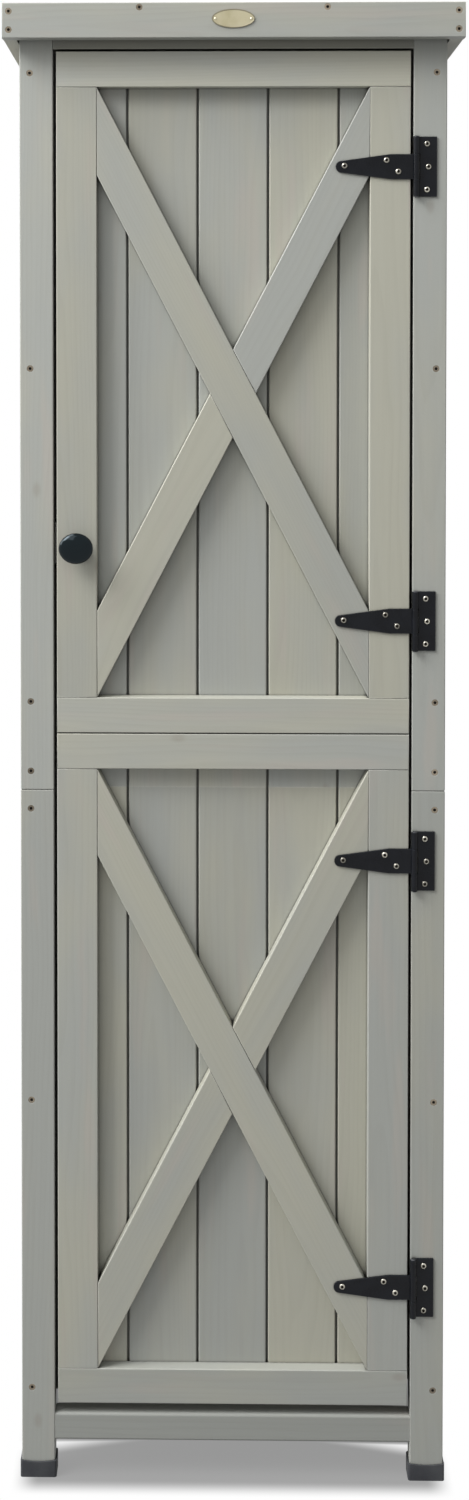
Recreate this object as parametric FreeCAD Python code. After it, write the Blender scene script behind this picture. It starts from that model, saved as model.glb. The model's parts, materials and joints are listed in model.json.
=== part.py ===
import FreeCAD, Part
import math
import os

from FreeCAD import Matrix, Vector

# A garden storage cabinet: posts and boards under a lean-to roof, with one full-height door.
# Millimetres. X runs to the right, Y from the door to the back, Z up.
# The origin is at floor level, under the middle of the whole object.

# Carcass
overall_height = 1800.0
body_width = 516.0
body_depth = 400.0
post_width = 40.5
post_depth = 22.0
post_joint_height = 849.5
post_edge_round = 2.0
post_end_bevel = 0.7
dowel_radius = 4.0
dowel_length = 60.0
dowel_play = 0.05
dowel_screw_web = 1.5

# Rails of the side and back frames, their boards behind them
rail_height = 46.0
rail_thickness = 19.0
rail_inset = 3.0
bottom_rail_centre = 111.0
top_rail_drop = 80.0
lower_shelf_centre = 467.5
middle_shelf_centre = 957.5
upper_shelf_centre = 1363.0
lining_thickness = 12.0
boards_per_side = 4
boards_per_back = 5

# Front rails
header_drop = 51.4
header_thickness = 22.0
sill_bottom = 45.0
sill_height = 34.0
sill_thickness = 20.0
sill_set_back = 0.5
sill_edge_round = 3.5

# Floor, shelves and cleats
shelf_thickness = 16.0
shelf_planks = 4
plank_gap = 6.0
floor_planks = 4
floor_gap = 1.5
cleat_width = 18.0
cleat_height = 20.0
shelf_end_play = 1.0
shelf_front_gap = 2.0
shelf_back_gap = 2.0

# Tongue-and-groove boards
board_gap = 2.4
board_edge_round = 1.5
tongue_thickness = 4.0
tongue_bite = 4.0
groove_depth = 4.6
groove_play = 0.2

# Door
door_bottom = 92.0
door_top_gap = 2.6
door_gap_latch = 4.0
door_gap_hinge = 3.2
door_joint_gap = 1.2
door_proud = 0.4
frame_thickness = 16.0
stile_width = 49.0
door_rail_height = 43.0
brace_width = 49.0
frame_edge_round = 1.6
boards_per_door = 5
batten_height = 80.0
batten_thickness = 18.0
batten_end_gap = 24.0

# Door stops and magnetic catch on the latch side
stop_width = 18.0
stop_depth = 12.0
stop_play = 1.0
catch_width = 20.0
catch_height = 50.0
catch_depth = 16.0
catch_air_gap = 0.3
catch_stop_gap = 5.0
magnet_height = 26.0
magnet_thickness = 6.0
magnet_depth = 12.0
catch_screw_from_end = 6.5
catch_screw_length = 30.0
strike_thickness = 1.5
strike_width = 14.0
strike_height = 40.0
strike_edge = 1.5

# T-hinges
pin_inset = 3.1
pin_radius = 1.5
pin_play = 0.05
pin_head_radius = 2.8
pin_head_end_radius = 2.0
pin_head_height = 1.2
barrel_radius = 3.8
leaf_thickness = 2.0
plate_width = 24.9
plate_height = 72.0
strap_length = 96.6
strap_width = 30.0
strap_tip_width = 12.0
strap_taper_start = 30.6
knuckle_play = 0.3
plate_slot_play = 1.2
hinge_below_top = 139.5
hinge_above_joint = 137.5
hinge_below_joint = 154.0
hinge_above_bottom = 147.5
plate_screw_from_end = 8.5
plate_screw_from_edge = 12.0
plate_middle_screw_shift = 1.8
strap_near_screw_x = 21.6
strap_near_screw_from_edge = 9.2
strap_next_screw_x = 35.8
strap_next_screw_from_edge = 7.1
strap_tip_screw_inset = 10.3
strap_tip_screw_rise = 1.2

# Knob
knob_height = 1146.8
knob_radius = 20.6
knob_half_height = 18.5
knob_projection = 27.0
knob_flange_radius = 12.0
knob_flange_height = 3.0
knob_flange_sweep = 1.5
knob_neck_radius = 8.5
knob_rim_radius = 4.0
knob_crown_rise = 9.5
knob_bore_radius = 1.9
knob_bore_depth = 16.0
knob_hole_play = 0.3

# Screws
post_screw_length = 60.0
wood_screw_head = 4.1
wood_screw_shank = 2.0
wood_screw_sink = 0.4
wood_screw_recess = 4.4
hinge_screw_head = 3.4
hinge_screw_dome = 1.7
hinge_screw_shank = 1.8
hinge_screw_length = 12.0
hinge_screw_recess = 3.6
recess_width = 1.1
recess_depth = 1.5
fascia_screw_length = 45.0
fascia_screw_from_edge = 10.0
fascia_middle_screw_x = 112.0
fascia_middle_screw_drop = 5.6
screw_play = 0.05
knob_screw_radius = 1.9
knob_screw_head = 4.5
knob_screw_head_end = 3.2
knob_screw_head_height = 2.6
knob_screw_end_gap = 1.0

# Roof
roof_fall = 2.3
fascia_height = 42.0
fascia_thickness = 18.0
fascia_stand_off = 10.0
trim_thickness = 16.0
trim_gap = 2.0
deck_thickness = 12.0
deck_boards = 5
covering_thickness = 1.6
covering_below_fascia = 0.4
covering_fold = 18.0
rear_batten_thickness = 12.0
rear_batten_height = 28.0
rear_overhang = 28.4

# Oval plate on the fascia
nameplate_width = 51.0
nameplate_height = 22.4
nameplate_thickness = 1.0
nameplate_rim = 0.35
nameplate_above_middle = 1.6
nail_from_end = 4.2
nail_head_radius = 1.3
nail_head_height = 0.8
nail_shank = 0.6
nail_length = 9.0

# Foot caps
cap_height = 20.5
cap_base = 3.0
cap_wall = 1.8
cap_play = 0.2
cap_corner_round = 3.0
cap_lip_dip = 1.7

# Making: facets of an eased edge, how far a cutter reaches past a face, lengths taken as equal
ease_facets = 3
overrun = 1.0
same_place = 0.001

# Places worked out from the sizes above
front_layers = nail_head_height + nameplate_thickness + fascia_thickness + fascia_stand_off
overall_depth = front_layers + body_depth + rear_overhang + covering_thickness
front_y = front_layers - overall_depth / 2
rear_y = front_y + body_depth
body_half = body_width / 2
opening_half = body_half - post_width
fascia_half = body_half + trim_gap + trim_thickness
fascia_back_y = front_y - fascia_stand_off
fascia_front_y = fascia_back_y - fascia_thickness
fascia_bottom = overall_height - fascia_height
roof_back_y = rear_y + rear_overhang
deck_top = overall_height - covering_below_fascia - covering_thickness
deck_underside = deck_top - deck_thickness

header_bottom = overall_height - header_drop
top_rail_centre = overall_height - top_rail_drop
door_top = header_bottom - door_top_gap
door_left = -opening_half + door_gap_latch
door_right = opening_half - door_gap_hinge
door_width = door_right - door_left
door_half_height = (door_top - door_bottom - door_joint_gap) / 2
door_upper_bottom = door_top - door_half_height
door_lower_top = door_bottom + door_half_height
door_face_y = front_y - door_proud
door_boards_y = door_face_y + frame_thickness
door_back_y = door_boards_y + lining_thickness

pin_x = opening_half + pin_inset
pin_y = door_face_y - barrel_radius
hinge_heights = (
    door_bottom + hinge_above_bottom,
    door_lower_top - hinge_below_joint,
    door_upper_bottom + hinge_above_joint,
    door_top - hinge_below_top,
)
hinge_names = ("bottom", "lower_middle", "upper_middle", "top")

side_rail_centres = (
    bottom_rail_centre,
    lower_shelf_centre,
    post_joint_height - rail_height / 2,
    post_joint_height + rail_height / 2,
    middle_shelf_centre,
    upper_shelf_centre,
    top_rail_centre,
)
back_rail_centres = (
    bottom_rail_centre,
    post_joint_height - rail_height / 2,
    post_joint_height + rail_height / 2,
    upper_shelf_centre,
    top_rail_centre,
)
lining_outer_x = body_half - rail_inset - rail_thickness
lining_inner_x = lining_outer_x - lining_thickness
lining_outer_y = rear_y - rail_inset - rail_thickness
lining_inner_y = lining_outer_y - lining_thickness
post_screw_x = body_half - rail_inset - rail_thickness / 2
dowel_x = post_screw_x - wood_screw_shank - dowel_screw_web - dowel_radius
dowel_depth = hinge_screw_length - leaf_thickness + dowel_screw_web + dowel_radius
knob_x = door_left + stile_width / 2
catch_front_y = door_back_y + strike_thickness + catch_air_gap
catch_x = -lining_inner_x + catch_width
stop_front_y = door_back_y + stop_play
stop_back_y = stop_front_y + stop_depth


def block(x0, x1, y0, y1, z0, z1):
    """A plain block between two corners."""
    return Part.makeBox(x1 - x0, y1 - y0, z1 - z0, Vector(x0, y0, z0))


def moved(shape, x=0.0, y=0.0, z=0.0):
    """A copy of a shape, shifted."""
    copy = shape.copy()
    copy.translate(Vector(x, y, z))
    return copy


def turned_about_z(shape, angle):
    """A copy of a shape, turned about the upright axis through the origin."""
    copy = shape.copy()
    copy.rotate(Vector(0, 0, 0), Vector(0, 0, 1), angle)
    return copy


def group(solids):
    """Several separate solids as one shape."""
    return Part.makeCompound(solids)


def drilled(shape, drills):
    """A shape with each of the drill shapes cut away."""
    for drill in drills:
        if shape.BoundBox.intersect(drill.BoundBox):
            shape = shape.cut(drill)
    return shape.Solids[0] if len(shape.Solids) == 1 else shape


def edges_at(shape, along=None, **places):
    """The edges that lie wholly at the given places, such as z=20, and only those along one axis if asked."""
    found = []
    for edge in shape.Edges:
        box = edge.BoundBox
        lows = {"x": box.XMin, "y": box.YMin, "z": box.ZMin}
        highs = {"x": box.XMax, "y": box.YMax, "z": box.ZMax}
        across = [axis for axis in lows if along and axis != along]
        if any(highs[axis] - lows[axis] > same_place for axis in across):
            continue
        if all(max(abs(lows[a] - p), abs(highs[a] - p)) < same_place for a, p in places.items()):
            found.append(edge)
    return found


def inset_outline(points, distance):
    """A convex outline, given anticlockwise, with each side moved inwards."""
    count = len(points)
    lines = []
    for i in range(count):
        x0, z0 = points[i]
        x1, z1 = points[(i + 1) % count]
        length = math.hypot(x1 - x0, z1 - z0)
        normal_x = -(z1 - z0) / length
        normal_z = (x1 - x0) / length
        offset = normal_x * x0 + normal_z * z0 + distance
        lines.append((normal_x, normal_z, offset))
    corners = []
    for i in range(count):
        a0, b0, c0 = lines[i - 1]
        a1, b1, c1 = lines[i]
        scale = a0 * b1 - a1 * b0
        corners.append(((c0 * b1 - c1 * b0) / scale, (a0 * c1 - a1 * c0) / scale))
    return corners


def outline_wire(points, y):
    """A closed wire through (x, z) points on the plane of one y."""
    corners = [Vector(x, y, z) for x, z in points]
    return Part.makePolygon(corners + corners[:1])


def eased_board(points, front, back, radius):
    """A board seen from the front as an outline, with its front edges eased in a few facets."""
    wires = [outline_wire(points, back)]
    for step in range(ease_facets + 1):
        angle = math.radians(90) * step / ease_facets
        inset = radius * (1 - math.cos(angle))
        depth = radius * (1 - math.sin(angle))
        wires.append(outline_wire(inset_outline(points, inset), front + depth))
    return Part.makeLoft(wires, True, True)


def rectangle(x0, x1, z0, z1):
    """The four corners of a rectangle, anticlockwise."""
    return [(x0, z0), (x1, z0), (x1, z1), (x0, z1)]


def turned_solid(edges):
    """A solid turned about the Y axis from a closed run of edges in the XY plane."""
    solid = Part.Face(Part.Wire(edges)).revolve(Vector(0, 0, 0), Vector(0, 1, 0), 360)
    if solid.Volume < 0:
        solid.reverse()
    return solid


def straight_edges(points):
    """Edges that join (radius, y) points in a row."""
    corners = [Vector(r, y, 0) for r, y in points]
    return [Part.makeLine(a, b) for a, b in zip(corners, corners[1:])]


def arc_edge(start, middle, end):
    """An arc through three (radius, y) points."""
    return Part.Arc(*[Vector(r, y, 0) for r, y in (start, middle, end)]).toShape()


def dome_edge(radius, rise, y):
    """The arc of a spherical cap, from its top on the axis to its rim at one y."""
    sphere = (radius ** 2 + rise ** 2) / (2 * rise)
    half_angle = math.asin(radius / sphere) / 2
    middle = (sphere * math.sin(half_angle), y - rise + sphere * (1 - math.cos(half_angle)))
    return arc_edge((0, y - rise), middle, (radius, y))


def cross_recess(depth_from, size, width, depth):
    """The cross cut in a screw head, from a depth inwards along Y."""
    across = block(-size / 2, size / 2, depth_from, depth_from + depth, -width / 2, width / 2)
    upright = block(-width / 2, width / 2, depth_from, depth_from + depth, -size / 2, size / 2)
    return across.fuse(upright)


def countersunk_profile(head, shank, length, sink, growth):
    """Points of a countersunk screw, or of its hole when grown."""
    cone = head - shank
    return [
        (0, sink - growth),
        (head + growth, sink - growth),
        (shank + growth, sink + cone),
        (shank + growth, length - 2 * shank),
        (0, length + growth),
        (0, sink - growth),
    ]


def wood_screw(length):
    """A countersunk screw along +Y, its head a little under the surface at y = 0."""
    profile = countersunk_profile(wood_screw_head, wood_screw_shank, length, wood_screw_sink, 0.0)
    screw = turned_solid(straight_edges(profile))
    recess = cross_recess(wood_screw_sink, wood_screw_recess, recess_width, recess_depth)
    return screw.cut(recess).Solids[0]


def wood_screw_hole(length):
    """The hole that a countersunk screw sits in, open at the surface."""
    profile = countersunk_profile(wood_screw_head, wood_screw_shank, length, wood_screw_sink, screw_play)
    mouth = Part.makeCylinder(wood_screw_head + screw_play, overrun + wood_screw_sink,
                              Vector(0, -overrun, 0), Vector(0, 1, 0))
    return turned_solid(straight_edges(profile)).fuse(mouth)


def round_head_screw(length):
    """A round-headed screw along +Y, its head in front of y = 0."""
    head = hinge_screw_head
    dome = hinge_screw_dome
    rest = straight_edges([
        (head, 0),
        (hinge_screw_shank, 0),
        (hinge_screw_shank, length - 2 * hinge_screw_shank),
        (0, length),
        (0, -dome),
    ])
    screw = turned_solid([dome_edge(head, dome, 0)] + rest)
    recess = cross_recess(-dome, hinge_screw_recess, recess_width, recess_depth)
    return screw.cut(recess).Solids[0]


def round_screw_hole(length):
    """The straight hole for a round-headed screw, from a little in front of y = 0."""
    radius = hinge_screw_shank + screw_play
    return Part.makeCylinder(radius, overrun + length + screw_play, Vector(0, -overrun, 0), Vector(0, 1, 0))


def below_roof(shape):
    """A shape with all that reaches above the underside of the roof boards cut off."""
    above = block(-body_width, body_width, -overall_depth, overall_depth, deck_underside, 2 * overall_height)
    return shape.cut(tilted(above)).Solids[0]


def tilted(shape):
    """A copy of a shape, tipped backwards with the roof about the fascia's lower back edge."""
    copy = shape.copy()
    copy.rotate(Vector(0, fascia_back_y, fascia_bottom), Vector(1, 0, 0), -roof_fall)
    return copy


def between_roof_ends(shape):
    """A roof piece cut upright behind the fascia and at the rear."""
    room = block(-fascia_half, fascia_half, fascia_back_y, roof_back_y, 0, 2 * overall_height)
    return shape.common(room).Solids[0]


def post_screw_drills():
    """Holes for the screws through the front posts into the side rails."""
    hole = wood_screw_hole(post_screw_length)
    drills = []
    for side in (-1, 1):
        for height in side_rail_centres:
            drills.append(moved(hole, side * post_screw_x, front_y, height))
    return drills


def plate_screw_places():
    """The (x, z) places of the screws in the hinge plates."""
    x = pin_x + plate_width - plate_screw_from_edge
    spread = plate_height / 2 - plate_screw_from_end
    places = []
    for height in hinge_heights:
        places.append((x, height + spread))
        places.append((x + plate_middle_screw_shift, height))
        places.append((x, height - spread))
    return places


def strap_screw_places():
    """The (x, z) places of the screws in the hinge straps."""
    half = strap_width / 2
    places = []
    for height in hinge_heights:
        places.append((pin_x - strap_near_screw_x, height - half + strap_near_screw_from_edge))
        places.append((pin_x - strap_next_screw_x, height + half - strap_next_screw_from_edge))
        places.append((pin_x - strap_length + strap_tip_screw_inset, height + strap_tip_screw_rise))
    return places


def hinge_drills(places, y):
    """Straight holes for the round-headed screws, started at one depth."""
    hole = round_screw_hole(hinge_screw_length)
    return [moved(hole, x, y, z) for x, z in places]


def knob_drill():
    """The hole through stile and board for the knob's screw."""
    radius = knob_screw_radius + knob_hole_play
    length = frame_thickness + lining_thickness + 2 * overrun
    start = Vector(knob_x, door_face_y - overrun, knob_height)
    return Part.makeCylinder(radius, length, start, Vector(0, 1, 0))


def dowel(x, y, growth):
    """The dowel across the joint of one post, clear of its screws, or its bore when grown."""
    length = dowel_length + 2 * growth
    dowel_y = front_y + dowel_depth if y < 0 else rear_y - dowel_depth
    start = Vector(math.copysign(dowel_x, x), dowel_y, post_joint_height - length / 2)
    return Part.makeCylinder(dowel_radius + growth, length, start)


def post_centres():
    """The (x, y) centres of the four posts: left front, right front, left rear, right rear."""
    x = body_half - post_width / 2
    y_front = front_y + post_depth / 2
    y_rear = rear_y - post_depth / 2
    return [(-x, y_front), (x, y_front), (-x, y_rear), (x, y_rear)]


def eased_post(x, y, z0, z1, joint_at_top):
    """One post length with rounded upright edges and a small bevel at its joint."""
    post = block(x - post_width / 2, x + post_width / 2, y - post_depth / 2, y + post_depth / 2, z0, z1)
    post = post.makeFillet(post_edge_round, edges_at(post, along="z"))
    joint_z = z1 if joint_at_top else z0
    return post.makeChamfer(post_end_bevel, edges_at(post, z=joint_z))


def lower_post(x, y, drills):
    """The lower length of a post, from its foot cap to the joint."""
    post = eased_post(x, y, cap_base, post_joint_height, True)
    return drilled(post, drills + [dowel(x, y, dowel_play)])


def upper_post(x, y, drills):
    """The upper length of a post, cut to the fall of the roof."""
    post = eased_post(x, y, post_joint_height, overall_height, False)
    return drilled(below_roof(post), drills + [dowel(x, y, dowel_play)])


def posts(parts):
    """All posts: the front ones one by one, the rear ones in pairs."""
    drills = post_screw_drills() + hinge_drills(plate_screw_places(), front_y - leaf_thickness)
    left_front, right_front, left_rear, right_rear = post_centres()
    parts["front_post_lower_left"] = lower_post(*left_front, drills)
    parts["front_post_upper_left"] = upper_post(*left_front, drills)
    parts["front_post_lower_right"] = lower_post(*right_front, drills)
    parts["front_post_upper_right"] = upper_post(*right_front, drills)
    parts["rear_post_left"] = group([lower_post(*left_rear, []), upper_post(*left_rear, [])])
    parts["rear_post_right"] = group([lower_post(*right_rear, []), upper_post(*right_rear, [])])
    parts["post_dowels"] = group([dowel(x, y, 0.0) for x, y in post_centres()])


def side_rails(side):
    """The rails between front and rear post on one side, set in from the posts' outer faces."""
    outer = side * (body_half - rail_inset)
    inner = outer - side * rail_thickness
    rails = []
    for centre in side_rail_centres:
        z0 = centre - rail_height / 2
        rail = block(min(outer, inner), max(outer, inner), front_y + post_depth, rear_y - post_depth,
                     z0, z0 + rail_height)
        rail = rail.makeFillet(frame_edge_round, edges_at(rail, along="y", x=outer))
        rails.append(drilled(rail, post_screw_drills()))
    return group(rails)


def back_rails():
    """The rails between the rear posts."""
    y1 = rear_y - rail_inset
    rails = []
    for centre in back_rail_centres:
        z0 = centre - rail_height / 2
        rail = block(-opening_half, opening_half, y1 - rail_thickness, y1, z0, z0 + rail_height)
        rails.append(rail.makeFillet(frame_edge_round, edges_at(rail, along="x", y=y1)))
    return group(rails)


def tongued_board(pitch, length, has_groove, has_tongue):
    """One upright board, its face at y = 0 looking along -Y, from x = 0 to its pitch."""
    left = board_gap / 2
    right = pitch - board_gap / 2
    near = (lining_thickness - tongue_thickness) / 2
    far = near + tongue_thickness
    points = [(left, 0), (right, 0)]
    if has_tongue:
        tip = right + board_gap + tongue_bite
        points += [(right, near), (tip, near), (tip, far), (right, far)]
    points += [(right, lining_thickness), (left, lining_thickness)]
    if has_groove:
        floor = left + groove_depth
        points += [(left, far + groove_play), (floor, far + groove_play)]
        points += [(floor, near - groove_play), (left, near - groove_play)]
    corners = [Vector(x, y, 0) for x, y in points]
    board = Part.Face(Part.makePolygon(corners + corners[:1])).extrude(Vector(0, 0, length))
    return board.makeFillet(board_edge_round, edges_at(board, along="z", y=0))


def board_row(count, span, length):
    """A row of boards that lock into each other, from x = 0 to the span."""
    pitch = span / count
    return [moved(tongued_board(pitch, length, i > 0, i < count - 1), i * pitch) for i in range(count)]


def board_lengths():
    """The (bottom, top) of the lower and the upper side and back boards, before the roof cuts them."""
    bottom = bottom_rail_centre - rail_height / 2
    return ((bottom, post_joint_height), (post_joint_height, overall_height))


def side_boards(side):
    """The upright boards behind the rails of one side, in two lengths that meet at the post joint."""
    span = body_depth - 2 * post_depth
    boards = []
    for z0, z1 in board_lengths():
        for board in board_row(boards_per_side, span, z1 - z0):
            placed = turned_about_z(board, 90 * side)
            start = front_y + post_depth if side > 0 else rear_y - post_depth
            placed = below_roof(moved(placed, side * lining_outer_x, start, z0))
            boards.append(drilled(placed, catch_screw_drills()))
    return group(boards)


def back_boards():
    """The upright boards behind the rails of the back, in two lengths."""
    boards = []
    for z0, z1 in board_lengths():
        for board in board_row(boards_per_back, 2 * lining_inner_x, z1 - z0):
            placed = turned_about_z(board, 180)
            boards.append(below_roof(moved(placed, lining_inner_x, lining_outer_y, z0)))
    return group(boards)


def header_rail():
    """The rail over the door, its top cut to the fall of the roof."""
    back_y = front_y + header_thickness
    rail = block(-opening_half, opening_half, front_y, back_y, header_bottom, overall_height)
    low_edge = edges_at(rail, along="x", y=front_y, z=header_bottom)
    return below_roof(rail.makeFillet(frame_edge_round, low_edge))


def sill_rail():
    """The low rail between the front posts, with well rounded front edges."""
    y0 = front_y + sill_set_back
    rail = block(-opening_half, opening_half, y0, y0 + sill_thickness, sill_bottom, sill_bottom + sill_height)
    return rail.makeFillet(sill_edge_round, edges_at(rail, along="x", y=y0))


def planks(count, gap, underside):
    """Planks that lie side by side on the cleats, from behind the door stops to the back boards."""
    start = stop_back_y + shelf_front_gap
    end = lining_inner_y - shelf_back_gap
    width = (end - start - (count - 1) * gap) / count
    half = lining_inner_x - shelf_end_play
    top = underside + shelf_thickness
    row = []
    for i in range(count):
        y0 = start + i * (width + gap)
        plank = block(-half, half, y0, y0 + width, underside, top)
        row.append(plank.makeFillet(frame_edge_round, edges_at(plank, along="x", z=top)))
    return group(row)


def cleats():
    """The cleats on the side boards that carry the floor and the shelves."""
    strips = []
    for centre in (bottom_rail_centre, lower_shelf_centre, middle_shelf_centre, upper_shelf_centre):
        z0 = centre - cleat_height / 2
        for side in (-1, 1):
            outer = side * lining_inner_x
            inner = outer - side * cleat_width
            strips.append(block(min(outer, inner), max(outer, inner), stop_back_y, lining_inner_y,
                                z0, z0 + cleat_height))
    return group(strips)


def lip_scoop(x, y, half_length, angle):
    """A wide shallow cylinder that dips the lip of two opposite walls of a foot cap in their middle."""
    radius = (half_length ** 2 + cap_lip_dip ** 2) / (2 * cap_lip_dip)
    scoop = Part.makeCylinder(radius, post_width * 2, Vector(0, -post_width, 0), Vector(0, 1, 0))
    return moved(turned_about_z(scoop, angle), x, y, cap_height - cap_lip_dip + radius)


def foot_caps():
    """A cup under each post, its walls a little outside the post and their lips dipped."""
    reach = cap_play + cap_wall
    caps = []
    for x, y in post_centres():
        half_x = post_width / 2 + reach
        half_y = post_depth / 2 + reach
        cup = block(x - half_x, x + half_x, y - half_y, y + half_y, 0, cap_height)
        cup = cup.makeFillet(cap_corner_round, edges_at(cup, along="z"))
        inner_x = half_x - cap_wall
        inner_y = half_y - cap_wall
        hollow = block(x - inner_x, x + inner_x, y - inner_y, y + inner_y, cap_base, cap_height + overrun)
        cup = cup.cut(hollow)
        cup = cup.cut(lip_scoop(x, y, half_x - cap_corner_round, 0))
        caps.append(cup.cut(lip_scoop(x, y, half_y - cap_corner_round, 90)).Solids[0])
    return group(caps)


def brace_angle(width, height):
    """The brace's angle from upright, so that its edges run through two opposite corners."""
    return math.atan2(width, height) + math.asin(brace_width / math.hypot(width, height))


def brace_outline(x0, x1, z0, z1, falls_to_right):
    """A brace band inside a frame opening, anticlockwise."""
    run = (x1 - x0) / math.tan(brace_angle(x1 - x0, z1 - z0))
    if falls_to_right:
        return [(x0, z0 + run), (x1, z0), (x1, z1 - run), (x0, z1)]
    return [(x0, z0), (x1, z0 + run), (x1, z1), (x0, z1 - run)]


def clipped_outline(points, corner_a, corner_b):
    """The part of a convex outline to the left of the line from a to b."""
    ax, az = corner_a
    bx, bz = corner_b

    def side_of(point):
        return (bx - ax) * (point[1] - az) - (bz - az) * (point[0] - ax)

    kept = []
    for i, start in enumerate(points):
        end = points[(i + 1) % len(points)]
        s0 = side_of(start)
        s1 = side_of(end)
        if s0 >= 0:
            kept.append(start)
        if s0 * s1 < 0:
            t = s0 / (s0 - s1)
            kept.append((start[0] + t * (end[0] - start[0]), start[1] + t * (end[1] - start[1])))
    return kept


def door_frame(z0, z1, drills):
    """The planted frame of one door half: two rails, two stiles, one long and two short braces."""
    inner_left = door_left + stile_width
    inner_right = door_right - stile_width
    low = z0 + door_rail_height
    high = z1 - door_rail_height

    def piece(points):
        return drilled(eased_board(points, door_face_y, door_boards_y, frame_edge_round), drills)

    rails = [piece(rectangle(door_left, door_right, z0, low)),
             piece(rectangle(door_left, door_right, high, z1))]
    stiles = [piece(rectangle(door_left, inner_left, low, high)),
              piece(rectangle(inner_right, door_right, low, high))]
    long_band = brace_outline(inner_left, inner_right, low, high, True)
    short_band = brace_outline(inner_left, inner_right, low, high, False)
    below_long = clipped_outline(short_band, long_band[1], long_band[0])
    above_long = clipped_outline(short_band, long_band[3], long_band[2])
    return group(rails), group(stiles), piece(long_band), group([piece(below_long), piece(above_long)])


def door(parts):
    """Both door halves with their boards, and the batten that joins them."""
    drills = hinge_drills(strap_screw_places(), door_face_y - leaf_thickness) + [knob_drill()]
    for name, z0, z1 in (("lower", door_bottom, door_lower_top), ("upper", door_upper_bottom, door_top)):
        rails, stiles, long_brace, short_braces = door_frame(z0, z1, drills)
        parts["door_rails_" + name] = rails
        parts["door_stiles_" + name] = stiles
        parts["door_brace_long_" + name] = long_brace
        parts["door_braces_short_" + name] = short_braces
        row = [moved(board, door_left, door_boards_y, z0)
               for board in board_row(boards_per_door, door_width, z1 - z0)]
        parts["door_boards_" + name] = group([drilled(board, drills) for board in row])
    centre = (door_lower_top + door_upper_bottom) / 2
    parts["door_joining_batten"] = block(door_left + batten_end_gap, door_right - batten_end_gap, door_back_y,
                                         door_back_y + batten_thickness, centre - batten_height / 2,
                                         centre + batten_height / 2)


def door_stops():
    """The battens on the latch-side boards that the door closes against, above and below the catch."""
    x0 = -lining_inner_x
    low_end = knob_height - catch_height / 2 - catch_stop_gap
    high_end = knob_height + catch_height / 2 + catch_stop_gap
    lower = block(x0, x0 + stop_width, stop_front_y, stop_back_y, door_bottom, low_end)
    upper = block(x0, x0 + stop_width, stop_front_y, stop_back_y, high_end, header_bottom)
    return group([lower, upper])


def catch_screws_placed(shape):
    """Copies of a screw or its hole at the catch's two screw places, turned to point into the side boards."""
    turned = turned_about_z(shape, 90)
    reach = catch_height / 2 - catch_screw_from_end
    y = catch_front_y + catch_depth / 2
    return [moved(turned, catch_x, y, knob_height + up) for up in (-reach, reach)]


def catch_screw_drills():
    """The holes for the two screws of the catch."""
    return catch_screws_placed(round_screw_hole(catch_screw_length))


def magnetic_catch(parts):
    """The catch body on the side boards, its magnet, its screws and the strike plate on the door."""
    body = block(-lining_inner_x, catch_x, catch_front_y, catch_front_y + catch_depth,
                 knob_height - catch_height / 2, knob_height + catch_height / 2)
    strike_x = door_left + strike_edge + strike_width / 2
    magnet = block(strike_x - magnet_thickness / 2, strike_x + magnet_thickness / 2,
                   catch_front_y, catch_front_y + magnet_depth,
                   knob_height - magnet_height / 2, knob_height + magnet_height / 2)
    parts["catch_housing"] = drilled(body.cut(magnet).Solids[0], catch_screw_drills())
    parts["catch_magnet"] = magnet
    parts["catch_screws"] = group(catch_screws_placed(round_head_screw(catch_screw_length)))
    parts["catch_strike"] = block(strike_x - strike_width / 2, strike_x + strike_width / 2, door_back_y,
                                  door_back_y + strike_thickness, knob_height - strike_height / 2,
                                  knob_height + strike_height / 2)


def knuckle(z0, z1):
    """A solid length of hinge barrel about the pin's axis."""
    return Part.makeCylinder(barrel_radius, z1 - z0, Vector(pin_x, pin_y, z0))


def pin_bore(z0, z1):
    """The bore of the barrel, with the pin's running clearance."""
    return Part.makeCylinder(pin_radius + pin_play, z1 - z0 + 2 * overrun, Vector(pin_x, pin_y, z0 - overrun))


def hinge_plate(height):
    """The upright leaf on the post, with a knuckle above and below the strap."""
    z0 = height - plate_height / 2
    z1 = height + plate_height / 2
    gap = strap_width / 2 + knuckle_play
    leaf = block(pin_x, pin_x + plate_width, front_y - leaf_thickness, front_y, z0, z1)
    slot = block(pin_x - overrun, pin_x + barrel_radius + plate_slot_play,
                 front_y - leaf_thickness - overrun, front_y + overrun, height - gap, height + gap)
    plate = leaf.cut(slot).fuse([knuckle(z0, height - gap), knuckle(height + gap, z1)])
    plate = plate.removeSplitter()
    drills = [pin_bore(z0, z1)] + hinge_drills(plate_screw_places(), front_y - leaf_thickness)
    return drilled(plate, drills)


def strap_outline(height):
    """The long leaf seen from the front, anticlockwise from its lower right corner."""
    half = strap_width / 2
    tip = strap_tip_width / 2
    taper_x = pin_x - strap_taper_start
    end_x = pin_x - strap_length
    return [
        Vector(pin_x, 0, height - half),
        Vector(pin_x, 0, height + half),
        Vector(taper_x, 0, height + half),
        Vector(end_x + tip, 0, height + tip),
        Vector(end_x, 0, height),
        Vector(end_x + tip, 0, height - tip),
        Vector(taper_x, 0, height - half),
    ]


def hinge_strap(height):
    """The long leaf on the door, tapered to a round tip, with one knuckle about the pin."""
    corners = strap_outline(height)
    sides = [Part.makeLine(corners[6], corners[0])]
    sides += [Part.makeLine(corners[i], corners[i + 1]) for i in range(3)]
    sides.append(Part.Arc(corners[3], corners[4], corners[5]).toShape())
    sides.append(Part.makeLine(corners[5], corners[6]))
    leaf = Part.Face(Part.Wire(sides)).extrude(Vector(0, leaf_thickness, 0))
    leaf = moved(leaf, 0, door_face_y - leaf_thickness)
    z0 = height - strap_width / 2
    z1 = height + strap_width / 2
    strap = leaf.fuse(knuckle(z0, z1)).removeSplitter()
    drills = [pin_bore(z0, z1)] + hinge_drills(strap_screw_places(), door_face_y - leaf_thickness)
    return drilled(strap, drills)


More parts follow.
